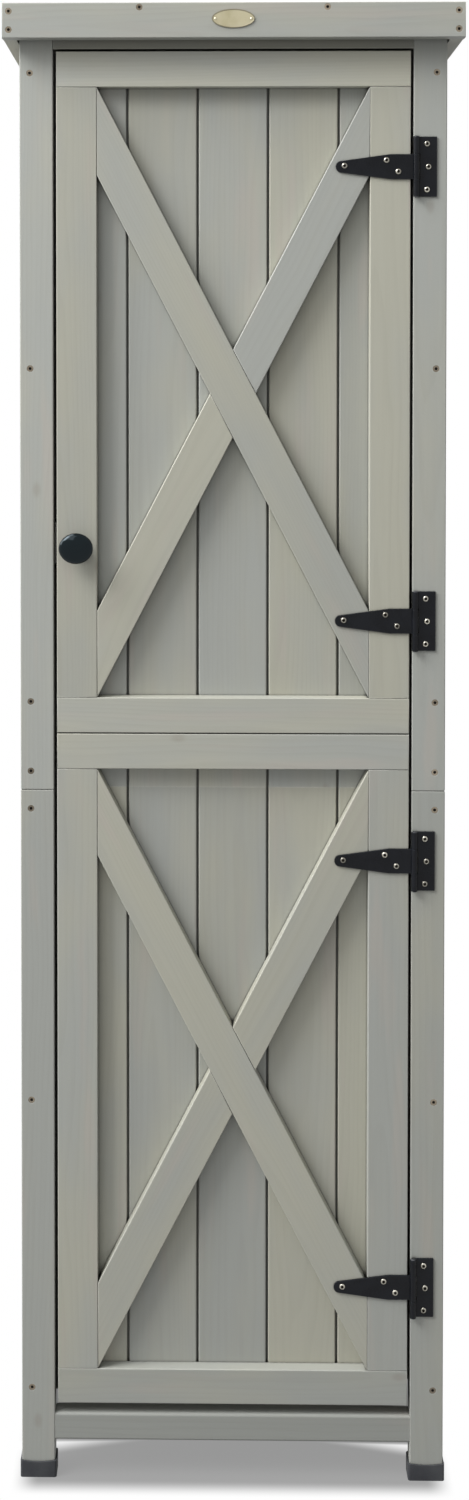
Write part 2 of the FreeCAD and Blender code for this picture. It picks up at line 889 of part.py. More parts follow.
def hinge_pin(height):
    """The pin through all three knuckles, with a small head at each end."""
    z0 = height - plate_height / 2
    stem = Part.makeCylinder(pin_radius, plate_height, Vector(pin_x, pin_y, z0))
    top_head = Part.makeCone(pin_head_radius, pin_head_end_radius, pin_head_height,
                             Vector(pin_x, pin_y, z0 + plate_height))
    low_head = Part.makeCone(pin_head_end_radius, pin_head_radius, pin_head_height,
                             Vector(pin_x, pin_y, z0 - pin_head_height))
    return stem.fuse([top_head, low_head]).removeSplitter().Solids[0]


def hinges(parts):
    """Four T-hinges, with pins and screws grouped."""
    for name, height in zip(hinge_names, hinge_heights):
        parts["hinge_plate_" + name] = hinge_plate(height)
        parts["hinge_strap_" + name] = hinge_strap(height)
    parts["hinge_pins"] = group([hinge_pin(height) for height in hinge_heights])
    screw = round_head_screw(hinge_screw_length)
    parts["hinge_plate_screws"] = group([moved(screw, x, front_y - leaf_thickness, z)
                                         for x, z in plate_screw_places()])
    parts["hinge_strap_screws"] = group([moved(screw, x, door_face_y - leaf_thickness, z)
                                         for x, z in strap_screw_places()])


def knob():
    """A mushroom knob, a little wider than high, bored from behind for its screw."""
    flange = (knob_flange_radius, -knob_flange_height)
    neck_start = (knob_neck_radius, -knob_flange_height - knob_flange_sweep)
    reach = knob_radius - knob_rim_radius
    crown_centre = knob_crown_centre(reach)
    rim_y = -knob_projection + knob_crown_rise
    length = math.hypot(reach, rim_y - crown_centre)
    outward = (reach / length, (rim_y - crown_centre) / length)
    shoulder = (reach + knob_rim_radius * outward[0], rim_y + knob_rim_radius * outward[1])
    under = (reach, rim_y + knob_rim_radius)
    edges = straight_edges([(0, 0), (knob_flange_radius, 0), flange, neck_start])
    edges += straight_edges([neck_start, (knob_neck_radius, under[1]), under])
    edges.append(arc_edge(under, (reach + knob_rim_radius, rim_y), shoulder))
    edges.append(dome_edge(shoulder[0], shoulder[1] + knob_projection, shoulder[1]))
    edges += straight_edges([(0, -knob_projection), (0, 0)])
    lower = Matrix()
    lower.scale(1, 1, knob_half_height / knob_radius)
    solid = moved(turned_solid(edges).transformGeometry(lower), knob_x, door_face_y, knob_height)
    bore = Part.makeCylinder(knob_bore_radius + screw_play, knob_bore_depth,
                             Vector(knob_x, door_face_y - knob_bore_depth, knob_height), Vector(0, 1, 0))
    return solid.cut(bore).Solids[0]


def knob_crown_centre(reach):
    """The y of the crown sphere's centre, so that crown and rounded rim run into each other smoothly."""
    rise = knob_crown_rise
    rim = knob_rim_radius
    sphere = (reach ** 2 + rise ** 2 - rim ** 2) / (2 * (rise - rim))
    return -knob_projection + sphere


def knob_screw():
    """The screw from the back of the door into the knob."""
    stem_length = knob_bore_depth - knob_screw_end_gap + frame_thickness + lining_thickness
    start = Vector(knob_x, door_back_y - stem_length, knob_height)
    stem = Part.makeCylinder(knob_screw_radius, stem_length, start, Vector(0, 1, 0))
    head = Part.makeCone(knob_screw_head, knob_screw_head_end, knob_screw_head_height,
                         Vector(knob_x, door_back_y, knob_height), Vector(0, 1, 0))
    return stem.fuse(head).Solids[0]


def fascia_screw_places():
    """The (x, z) places of the screws in the fascia: two at each end, two along the top."""
    x = fascia_half - trim_thickness / 2
    places = []
    for side in (-1, 1):
        places.append((side * x, overall_height - fascia_screw_from_edge))
        places.append((side * x, fascia_bottom + fascia_screw_from_edge))
        places.append((side * fascia_middle_screw_x, overall_height - fascia_middle_screw_drop))
    return places


def nail_places():
    """The x places of the two nails in the oval plate."""
    reach = nameplate_width / 2 - nail_from_end
    return (-reach, reach)


def nameplate_centre_z():
    """The height of the oval plate's centre."""
    return overall_height - fascia_height / 2 + nameplate_above_middle


def roof(parts):
    """Fascia, side trims, boards, covering and rear batten."""
    hole = wood_screw_hole(fascia_screw_length)
    screw_drills = [moved(hole, x, fascia_front_y, z) for x, z in fascia_screw_places()]
    nail_bore = Part.makeCylinder(nail_shank + screw_play, nail_length, Vector(0, 0, 0), Vector(0, 1, 0))
    nail_drills = [moved(nail_bore, x, fascia_front_y - nameplate_thickness, nameplate_centre_z())
                   for x in nail_places()]
    outline = rectangle(-fascia_half, fascia_half, fascia_bottom, overall_height)
    fascia = eased_board(outline, fascia_front_y, fascia_back_y, frame_edge_round)
    parts["roof_fascia"] = drilled(fascia, screw_drills + nail_drills)
    screw = wood_screw(fascia_screw_length)
    parts["fascia_screws"] = group([moved(screw, x, fascia_front_y, z) for x, z in fascia_screw_places()])

    start = fascia_front_y
    end = roof_back_y + rear_overhang
    inner = body_half + trim_gap
    trim_top = overall_height - covering_below_fascia
    trims = []
    for side in (-1, 1):
        x0 = min(side * inner, side * fascia_half)
        trim = block(x0, x0 + trim_thickness, start, end, fascia_bottom, trim_top)
        trims.append(drilled(between_roof_ends(tilted(trim)), screw_drills))
    parts["roof_side_trims"] = group(trims)

    deck_end = roof_back_y - rear_batten_thickness
    pitch = (deck_end - fascia_back_y) / deck_boards
    boards = []
    for i in range(deck_boards):
        y0 = start if i == 0 else fascia_back_y + i * pitch
        y1 = fascia_back_y + (i + 1) * pitch
        board = block(-inner, inner, y0, y1, deck_underside, deck_top)
        boards.append(drilled(between_roof_ends(tilted(board)), screw_drills))
    parts["roof_boards"] = group(boards)

    batten = block(-inner, inner, deck_end, end, deck_top - rear_batten_height, deck_top)
    parts["roof_rear_batten"] = between_roof_ends(tilted(batten))

    sheet = block(-inner, inner, start, end, deck_top, deck_top + covering_thickness)
    sheet = between_roof_ends(tilted(sheet))
    rear_top = sheet.BoundBox.ZMin + covering_thickness
    fold = block(-inner, inner, roof_back_y, roof_back_y + covering_thickness,
                 rear_top - covering_fold, rear_top)
    parts["roof_covering"] = sheet.fuse(fold).removeSplitter().Solids[0]


def nameplate():
    """A bare oval plate with a bevelled rim, holed for its nails."""
    centre = Vector(0, 0, 0)
    ellipse = Part.Ellipse(centre, nameplate_width / 2, nameplate_height / 2)
    plate = Part.Face(Part.Wire(ellipse.toShape())).extrude(Vector(0, 0, nameplate_thickness))
    plate = plate.makeChamfer(nameplate_rim, edges_at(plate, z=nameplate_thickness))
    plate.rotate(Vector(0, 0, 0), Vector(1, 0, 0), 90)
    plate.translate(Vector(0, fascia_front_y, nameplate_centre_z()))
    bore = Part.makeCylinder(nail_shank + screw_play, nameplate_thickness + 2 * overrun,
                             Vector(0, -nameplate_thickness - overrun, 0), Vector(0, 1, 0))
    return drilled(plate, [moved(bore, x, fascia_front_y, nameplate_centre_z()) for x in nail_places()])


def nameplate_nails():
    """Two small nails with domed heads."""
    rest = straight_edges([(nail_head_radius, 0), (nail_shank, 0), (nail_shank, nail_length - 2 * nail_shank),
                           (0, nail_length), (0, -nail_head_height)])
    nail = turned_solid([dome_edge(nail_head_radius, nail_head_height, 0)] + rest)
    y = fascia_front_y - nameplate_thickness
    return group([moved(nail, x, y, nameplate_centre_z()) for x in nail_places()])


def post_screws():
    """The countersunk screws in the faces of the front posts."""
    screw = wood_screw(post_screw_length)
    places = [(side * post_screw_x, height) for side in (-1, 1) for height in side_rail_centres]
    return group([moved(screw, x, front_y, z) for x, z in places])


def carcass(parts):
    """Posts, rails, boards, floor, shelves and feet."""
    posts(parts)
    parts["header_rail"] = header_rail()
    parts["sill_rail"] = sill_rail()
    parts["rear_rails"] = back_rails()
    parts["side_rails_left"] = side_rails(-1)
    parts["side_rails_right"] = side_rails(1)
    parts["side_boards_left"] = side_boards(-1)
    parts["side_boards_right"] = side_boards(1)
    parts["back_boards"] = back_boards()
    cleat_rise = cleat_height / 2
    parts["floor_boards"] = planks(floor_planks, floor_gap, bottom_rail_centre + cleat_rise)
    parts["shelf_lower"] = planks(shelf_planks, plank_gap, lower_shelf_centre + cleat_rise)
    parts["shelf_middle"] = planks(shelf_planks, plank_gap, middle_shelf_centre + cleat_rise)
    parts["shelf_upper"] = planks(shelf_planks, plank_gap, upper_shelf_centre + cleat_rise)
    parts["shelf_cleats"] = cleats()
    parts["door_stops"] = door_stops()
    parts["foot_caps"] = foot_caps()
    parts["post_screws"] = post_screws()


def main():
    """Makes every sub-part and writes one file for each."""
    parts = {}
    carcass(parts)
    roof(parts)
    parts["nameplate"] = nameplate()
    parts["nameplate_nails"] = nameplate_nails()
    door(parts)
    magnetic_catch(parts)
    hinges(parts)
    parts["knob"] = knob()
    parts["knob_screw"] = knob_screw()
    os.makedirs("parts", exist_ok=True)
    for name, shape in parts.items():
        shape.exportStep("parts/" + name + ".step")
        print(name, len(shape.Solids), "solids, valid:", shape.isValid())
    print(len(parts), "files")
    return parts


main()
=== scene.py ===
# %% [markdown]
# # A garden storage cabinet
#
# The cabinet is a tall box of grey stained softwood on four posts, with a low lean-to roof and one
# full-height door hung on four black T-hinges. The CAD model gives every size and place. This lesson
# dresses it: each board, hinge and screw is modelled over its CAD node, so that edges, recesses and
# grain show as on the real thing.
#
# The frame comes first, because everything else is measured from it.

import json
import math
import random

import bmesh
import bpy
from mathutils import Matrix, Vector


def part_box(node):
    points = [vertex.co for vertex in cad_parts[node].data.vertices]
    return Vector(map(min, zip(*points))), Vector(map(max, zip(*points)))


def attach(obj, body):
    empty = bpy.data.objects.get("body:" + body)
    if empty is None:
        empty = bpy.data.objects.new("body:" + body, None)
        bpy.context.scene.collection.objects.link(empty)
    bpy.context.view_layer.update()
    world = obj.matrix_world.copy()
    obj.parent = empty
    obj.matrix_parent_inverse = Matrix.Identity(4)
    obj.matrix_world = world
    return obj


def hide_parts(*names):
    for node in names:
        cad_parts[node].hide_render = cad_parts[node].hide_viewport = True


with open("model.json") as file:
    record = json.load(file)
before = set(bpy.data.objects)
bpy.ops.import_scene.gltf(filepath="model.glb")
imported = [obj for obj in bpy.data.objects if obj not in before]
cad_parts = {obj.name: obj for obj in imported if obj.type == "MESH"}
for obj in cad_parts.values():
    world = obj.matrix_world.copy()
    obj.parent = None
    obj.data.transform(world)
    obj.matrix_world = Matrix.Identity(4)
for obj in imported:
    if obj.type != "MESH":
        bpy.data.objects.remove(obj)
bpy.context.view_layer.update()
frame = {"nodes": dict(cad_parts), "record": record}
record = frame["record"]
body_of = {node: body for body, nodes in record["behaviour"]["bodies"].items() for node in nodes}

MM = 0.001

# %% [markdown]
# ## Camera
#
# The picture was taken from in front, a little left of the middle and about 1.4 m up, with the lens
# shifted down so that the feet stay in view. A camera fitted to the straight lines of the front gives
# the place, the turn and the shift. A guess by eye would let the braces and rails drift.

# %% Camera
EYE_LEFT = 0.0354
EYE_AWAY = 2.1959
EYE_HEIGHT = 1.4391
EYE_TURN = (math.radians(90) - 0.0241, 0.0001, 0.0154)
LENS = 43.565
LENS_SHIFT = (0.0393, -0.267)

scene = bpy.context.scene
camera_data = bpy.data.cameras.new("camera")
camera = bpy.data.objects.new("camera", camera_data)
scene.collection.objects.link(camera)
bpy.context.scene.camera = camera
camera.location = (-EYE_LEFT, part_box("front_post_lower_left")[0].y - EYE_AWAY, EYE_HEIGHT)
camera.rotation_euler = EYE_TURN
camera_data.sensor_width = 36
camera_data.lens = LENS
camera_data.shift_x, camera_data.shift_y = LENS_SHIFT
print("camera at", [round(v, 3) for v in camera.location])

# %% [markdown]
# ## Small helpers for shaders
#
# Every finish below is built from nodes. A few short functions keep those cells readable: one sets or
# links a socket, one adds a node with all its sockets, and the others add a math node, a noise, a smooth
# step, a colour mix or a shader mix.

# %% Sockets and groups


def group_with(name, inputs, outputs):
    """An empty shader node group with named sockets."""
    tree = bpy.data.node_groups.new(name, "ShaderNodeTree")
    for label, kind, value in inputs:
        socket = tree.interface.new_socket(label, in_out="INPUT", socket_type="NodeSocket" + kind)
        if value is not None:
            socket.default_value = value
    for label, kind in outputs:
        tree.interface.new_socket(label, in_out="OUTPUT", socket_type="NodeSocket" + kind)
    return tree, tree.nodes.new("NodeGroupInput"), tree.nodes.new("NodeGroupOutput")


def feed(tree, socket, value):
    """Sets a socket to a value, or links another socket to it."""
    if isinstance(value, bpy.types.NodeSocket):
        tree.links.new(value, socket)
    elif value is not None:
        socket.default_value = value


def feed_all(tree, node, values):
    """Sets or links a node's sockets by their names."""
    for label, value in values.items():
        feed(tree, node.inputs[label.replace("_", " ")], value)
    return node


def placed(tree, kind, **values):
    """A new shader node with its sockets set or linked."""
    return feed_all(tree, tree.nodes.new("ShaderNode" + kind), values)


def new_material(name):
    """An empty node material with its output node."""
    material = bpy.data.materials.new(name)
    material.use_nodes = True
    material.node_tree.nodes.clear()
    return material, material.node_tree, placed(material.node_tree, "OutputMaterial")


print("groups, nodes and materials can be made")

# %% Small nodes


def sums(tree, operation, a, b=None, c=None):
    """One math node."""
    node = placed(tree, "Math")
    node.operation = operation
    for socket, value in zip(node.inputs, (a, b, c)):
        feed(tree, socket, value)
    return node.outputs[0]


def stretched(tree, place, scale, shift=(0, 0, 0)):
    """Coordinates scaled along each axis."""
    return placed(tree, "Mapping", Vector=place, Scale=scale, Location=shift).outputs[0]


def noise(tree, place, scale, detail=2.0, rough=0.5):
    """A noise value on coordinates."""
    node = placed(tree, "TexNoise", Vector=place, Scale=scale, Detail=detail, Roughness=rough)
    return node.outputs["Fac"]


def ramp(tree, value, start, end, low=0.0, high=1.0):
    """A smooth step between two values."""
    node = placed(tree, "MapRange", Value=value, From_Min=start, From_Max=end, To_Min=low, To_Max=high)
    node.interpolation_type = "SMOOTHSTEP"
    return node.outputs["Result"]


def blended(tree, share, first, second):
    """Two colours mixed by a share."""
    node = placed(tree, "Mix")
    node.data_type = "RGBA"
    return feed_all(tree, node, {"Factor": share, "A": first, "B": second}).outputs["Result"]


def split_axes(tree, place):
    """The x, y and z of coordinates."""
    return placed(tree, "SeparateXYZ", Vector=place).outputs


def mixed(tree, share, first, second):
    """Two shaders mixed by a share."""
    node = placed(tree, "MixShader")
    for socket, value in zip(node.inputs, (share, first, second)):
        feed(tree, socket, value)
    return node.outputs[0]


def object_place(tree):
    """Object coordinates."""
    return placed(tree, "TexCoord").outputs["Object"]


print("node helpers ready")

# %% [markdown]
# ## Floor and light
#
# A product picture like this one is lit by large soft lamps, all from the left. The key lamp stands
# high in front, a rim lamp further round lights the left arrises, an overhead lamp the roof and the
# upper arrises, and two weak ones in front lift the shade under the roof. A pale surrounding fills the
# rest, so a colour comes out about as it is written. The backdrop is white because the world is white
# to the camera, not because more light falls on the cabinet.
#
# The floor is pale too. Under the cabinet lies a soft grey shadow, lighter beside the feet and darker
# further back. It is a shade in the floor's own material, measured from the foot caps, so that it
# stays under the cabinet from every side.

# %% Floor
FLOOR_SIZE = 30.0
FLOOR_BOUNCE = 0.22
SHADOW_LEVEL = 0.305
SHADOW_LIT = 0.05
FRONT_FADE = (-0.036, -0.0036)
SIDE_FADE = (-0.012, 0.024)
WEDGE_FADE = (0.03375, 0.067)
WEDGE_SLOPE = 0.25
BEHIND_FADE = (0.066, 0.075)
DEEP_FADE = (0.075, 0.147)
DEEP_SIDE_FADE = (0.0, 0.06)
DEEP_LEVEL = 0.16

scene.view_settings.view_transform = "Standard"


def seen_straight(tree):
    """1 where the camera sees a surface straight, in a mirror or through glass."""
    path = placed(tree, "LightPath").outputs
    mirrored = sums(tree, "MAXIMUM", path["Is Camera Ray"], path["Is Glossy Ray"])
    return sums(tree, "MAXIMUM", mirrored, path["Is Transmission Ray"])


def footprint_depth(tree):
    """How deep a floor point lies under the cabinet from the side and from the front, in metres."""
    axes = split_axes(tree, object_place(tree))
    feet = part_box("foot_caps")[1]
    return [sums(tree, "SUBTRACT", feet[i], sums(tree, "ABSOLUTE", axes[i])) for i in (0, 1)]


def paint_floor():
    """A pale matt floor, white where it is looked at, with a soft grey shadow under the cabinet."""
    material, tree, output = new_material("pale floor")
    looked_at = seen_straight(tree)
    from_side, from_front = footprint_depth(tree)
    shade = sums(tree, "MULTIPLY", ramp(tree, from_side, *SIDE_FADE), ramp(tree, from_front, *FRONT_FADE))
    beside_foot = sums(tree, "MULTIPLY_ADD", from_side, -WEDGE_SLOPE, from_front)
    before = ramp(tree, beside_foot, *WEDGE_FADE, 1.0, 0.0)
    behind = ramp(tree, from_front, *BEHIND_FADE)
    shade = sums(tree, "MULTIPLY", shade, sums(tree, "MAXIMUM", before, behind))
    deep = sums(tree, "MULTIPLY", ramp(tree, from_front, *DEEP_FADE), ramp(tree, from_side, *DEEP_SIDE_FADE))
    deep = sums(tree, "MULTIPLY_ADD", deep, DEEP_LEVEL - 1.0, 1.0)

    bounce = placed(tree, "BsdfDiffuse", Color=(FLOOR_BOUNCE, FLOOR_BOUNCE, FLOOR_BOUNCE, 1))
    shaded = placed(tree, "BsdfDiffuse", Color=sums(tree, "MULTIPLY", deep, SHADOW_LIT))
    base = placed(tree, "Emission", Strength=sums(tree, "MULTIPLY", deep, SHADOW_LEVEL))
    shadow = placed(tree, "AddShader")
    feed(tree, shadow.inputs[0], shaded.outputs[0])
    feed(tree, shadow.inputs[1], base.outputs[0])
    white = placed(tree, "Emission")
    seen = mixed(tree, shade, white.outputs[0], shadow.outputs[0])
    feed(tree, output.inputs[0], mixed(tree, looked_at, bounce.outputs[0], seen))
    return material


bpy.ops.object.select_all(action="DESELECT")
bpy.ops.mesh.primitive_plane_add(size=FLOOR_SIZE, location=(0, 0, 0))
floor = bpy.context.object
floor.name = "floor"
floor.data.materials.append(paint_floor())
print("floor", FLOOR_SIZE, "m wide")

# %% Light
FILL_STRENGTH = 0.40
# name: (place, target, width of the lamp, power)
LAMPS = {
    "key": ((-4.3, -2.2, 5.4), (0, 0, 1.0), 2.6, 398.0),
    "top": ((-1.4, -2.3, 3.7), (0, -0.2, 1.4), 2.0, 30.0),
    "rim": ((-5.6, -0.95, 3.4), (0, -0.2, 1.0), 2.4, 120.0),
    "front": ((-1.2, -3.2, 1.1), (0, -0.2, 0.95), 2.0, 7.5),
    "overhead": ((-2.3, -0.95, 6.0), (0, -0.2, 1.0), 2.2, 110.0),
}

world = bpy.data.worlds.new("pale room")
scene.world = world
world.use_nodes = True
world_tree = world.node_tree
world_tree.nodes.clear()
strength = placed(world_tree, "MapRange", Value=seen_straight(world_tree), To_Min=FILL_STRENGTH)
sky = placed(world_tree, "Background", Color=(1, 1, 1, 1), Strength=strength.outputs["Result"])
placed(world_tree, "OutputWorld", Surface=sky.outputs[0])


def soft_lamp(name, place, target, size, power):
    """A square lamp that faces a target."""
    data = bpy.data.lights.new(name, "AREA")
    data.shape = "SQUARE"
    data.size = size
    data.energy = power
    lamp = bpy.data.objects.new(name, data)
    scene.collection.objects.link(lamp)
    lamp.location = place
    lamp.rotation_euler = (Vector(target) - Vector(place)).to_track_quat("-Z", "Y").to_euler()
    return lamp


for name, values in LAMPS.items():
    lamp = soft_lamp(name, *values)
    lamp.visible_glossy = name != "front"
    print(name, "lamp at", values[0], "with", values[-1], "W")

# %% [markdown]
# ## A few tools for the bench
#
# A CAD node can hold several solids: one node is all seven rails of a side. The next helper reads the
# box of each separate solid, so that every board here takes its size and place from the frame. The
# others do by code what a hand does in edit mode: add a primitive, pick edges or faces, bevel, extrude
# and cut them, and apply a modifier.

# %% Read the solids of a node
WELD = 0.002 * MM
PAST_JOINT = 5 * MM


def box_around(points):
    """The lowest and highest corner of some points."""
    points = list(points)
    return [Vector([pick_end(p[i] for p in points) for i in range(3)]) for pick_end in (min, max)]


def solids(node):
    """The (lowest corner, highest corner) of each separate solid in a CAD node, upwards and to the right."""
    mesh = bmesh.new()
    mesh.from_mesh(frame["nodes"][node].data)
    bmesh.ops.remove_doubles(mesh, verts=mesh.verts[:], dist=WELD)
    seen = set()
    boxes = []
    for start in mesh.verts:
        if start in seen:
            continue
        seen.add(start)
        island = [start]
        for vertex in island:
            for edge in vertex.link_edges:
                other = edge.other_vert(vertex)
                if other not in seen:
                    seen.add(other)
                    island.append(other)
        boxes.append(tuple(box_around(v.co for v in island)))
    mesh.free()
    boxes.sort(key=lambda box: (round(box[0].z, 3), round(box[0].x, 3), round(box[0].y, 3)))
    return boxes


def split_level(boxes, height):
    """Boxes that reach well past a height, taken apart there: their pieces touch end to end."""
    apart = []
    for low, high in boxes:
        if low.z < height - PAST_JOINT and high.z > height + PAST_JOINT:
            apart.append((low, Vector((high.x, high.y, height))))
            apart.append((Vector((low.x, low.y, height)), high))
        else:
            apart.append((low, high))
    return apart


joint_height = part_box("front_post_lower_left")[1].z
print("posts meet at", round(joint_height, 4), "m;", len(solids("post_screws")), "screws in the posts")

# %% Add and join


def pick(*pieces):
    """Selects only these objects, the first one active."""
    bpy.ops.object.select_all(action="DESELECT")
    for piece in pieces:
        piece.select_set(True)
    if pieces:
        bpy.context.view_layer.objects.active = pieces[0]


def settle(piece):
    """Moves an object's place, turn and scale into its mesh."""
    pick(piece)
    bpy.ops.object.transform_apply(location=True, rotation=True, scale=True)
    return piece


def added(primitive, name, scale=None, **options):
    """A new primitive under its own name, with its place, turn and size in its mesh."""
    pick()
    primitive(**options)
    piece = bpy.context.object
    piece.name = name
    if scale is not None:
        piece.scale = scale
    return settle(piece)


def block(name, low, high):
    """A block between two corners, to be shaped further."""
    low, high = Vector(low), Vector(high)
    return added(bpy.ops.mesh.primitive_cube_add, name, scale=high - low, size=1, location=(low + high) / 2)


def cone(name, wide, narrow, depth, sides, place):
    """A cone whose wide end looks to the front."""
    return added(bpy.ops.mesh.primitive_cone_add, name, vertices=sides, radius1=wide, radius2=narrow,
                 depth=depth, rotation=(math.radians(-90), 0, 0), location=place)


def copied(piece, name):
    """A copy of a piece with a mesh of its own."""
    twin = piece.copy()
    twin.data = piece.data.copy()
    twin.name = name
    scene.collection.objects.link(twin)
    return twin


def joined(pieces, name):
    """Several pieces as one object."""
    pick(*pieces)
    if len(pieces) > 1:
        bpy.ops.object.join()
    piece = bpy.context.view_layer.objects.active
    piece.name = name
    return piece


print("pieces can be added, copied and joined")

# %% Apply and finish
SMOOTH_BELOW = math.radians(38)


def applied(piece, kind, **settings):
    """A piece after a modifier with these settings."""
    modifier = piece.modifiers.new(kind, kind)
    for label, value in settings.items():
        setattr(modifier, label, value)
    pick(piece)
    bpy.ops.object.modifier_apply(modifier=modifier.name)
    return piece


def carved(piece, cutter):
    """A piece with a cutter taken out of it."""
    applied(piece, "BOOLEAN", object=cutter, operation="DIFFERENCE")
    bpy.data.objects.remove(cutter)
    return piece


def soften(piece, width, segments=2, angle=40):
    """A small bevel on every sharp edge."""
    return applied(piece, "BEVEL", width=width, segments=segments, limit_method="ANGLE",
                   angle_limit=math.radians(angle))


def stands_for(piece, material, *nodes):
    """Finishes a piece: smooth where it is round, its material, and the node it replaces and moves with.

    The large faces keep their own normals, so that a planed face beside a rounded arris stays flat.
    """
    pick(piece)
    bpy.ops.object.shade_smooth_by_angle(angle=SMOOTH_BELOW)
    applied(piece, "WEIGHTED_NORMAL", keep_sharp=True, weight=100)
    piece.data.materials.clear()
    piece.data.materials.append(material)
    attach(piece, body_of[nodes[0]])
    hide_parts(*nodes)
    print(piece.name, "stands for", ", ".join(nodes), "-", len(piece.data.polygons), "faces")
    return piece


print(len(frame["nodes"]), "CAD nodes will get a new piece or a new material")

# %% Work in edit mode
IN_PLANE = 0.01 * MM


def choose(piece, kind, test):
    """Opens a piece in edit mode with only the edges or faces selected that pass a test."""
    pick(piece)
    bpy.ops.object.mode_set(mode="EDIT")
    bpy.ops.mesh.select_mode(type=kind)
    bpy.ops.mesh.select_all(action="DESELECT")
    mesh = bmesh.from_edit_mesh(piece.data)
    for item in (mesh.faces if kind == "FACE" else mesh.edges):
        if test(item):
            item.select_set(True)
    bmesh.update_edit_mesh(piece.data)


def done():
    """Back to object mode."""
    bpy.ops.object.mode_set(mode="OBJECT")


def everything(item):
    """A test that all edges or faces pass."""
    return True


def lies_at(axis, value):
    """A test for edges or faces that lie wholly in one plane."""
    index = "xyz".index(axis)
    return lambda item: all(abs(v.co[index] - value) < IN_PLANE for v in item.verts)


def runs_along(axis):
    """A test for edges that run along one axis."""
    others = [i for i in range(3) if i != "xyz".index(axis)]
    return lambda edge: all(abs(edge.verts[0].co[i] - edge.verts[1].co[i]) < IN_PLANE for i in others)


def score(piece, point, across, **closing):
    """Adds a line of edges where a plane crosses a piece."""
    choose(piece, "FACE", everything)
    bpy.ops.mesh.bisect(plane_co=point, plane_no=across, **closing)
    done()


def cut(piece, point, outward):
    """Cuts away what lies beyond a plane and closes the cut."""
    score(piece, point, outward, use_fill=True, clear_outer=True)


def ease(piece, radius, segments, test):
    """Rounds the edges that pass a test."""
    choose(piece, "EDGE", test)
    bpy.ops.mesh.bevel(offset=radius, segments=segments, affect="EDGES")
    done()


def pull(x, y, z):
    """Extrudes what is selected by a distance."""
    bpy.ops.mesh.extrude_region_move(TRANSFORM_OT_translate={"value": (x, y, z)})


def extend(piece, test, *way):
    """Extrudes the faces that pass a test by x, y and z."""
    choose(piece, "FACE", test)
    pull(*way)
    done()


def shift(piece, test, *way):
    """Moves the faces that pass a test by x, y and z."""
    choose(piece, "FACE", test)
    bpy.ops.transform.translate(value=way)
    done()


def close_up(gap=None):
    """Merges doubles within a gap, turns all faces outwards and goes back to object mode."""
    bpy.ops.mesh.select_all(action="SELECT")
    if gap is not None:
        bpy.ops.mesh.remove_doubles(threshold=gap)
    bpy.ops.mesh.normals_make_consistent(inside=False)
    done()


print("bench tools ready")

# %% [markdown]
# ## Grey stained wood
#
# The boards are planed spruce under a thin grey stain. Close to, the stain drifts between a cool grey
# and a warm greenish beige, faint pinkish streaks follow the grain, the late wood of the growth rings
# shows a little darker, and here and there sits a weak knot. An even colour would look like plastic,
# and a strong wood texture would look like bare pine, so all of these stay faint.
#
# Every board gets coordinates of its own: across, through and along the grain, measured from a heart
# of the tree that lies somewhere beside the board. Rings are then the distance from that heart, which
# gives arches on one board and straight lines on the next, as sawing does. One node group turns those
# coordinates into colour, roughness and height.

# %% Wood figure
RING_PITCH = 3.4 * MM
RING_SWAY = 18 * MM
RING_WAVE = 2.5 * MM
KNOT_EDGES = (0.006, 0.022)
KNOTS_PER_METRE = 3.1
# how many waves of each noise lie in a metre across, through and along the grain
WAVES = {"sway": (14, 14, 2.2), "wave": (60, 60, 5), "fibre": (900, 900, 14), "streak": (150, 150, 2.4),
         "cloud": (15, 15, 4.2), "blush": (40, 40, 4.5)}
PINK_SHARE = 0.4
STREAK_SHARE = 0.035
FIBRE_SHARE = 0.03
KNOT_SHARE = 0.22
LATE_TONE = (0.16, 0.145, 0.11, 1)
KNOT_TONE = (0.20, 0.155, 0.11, 1)


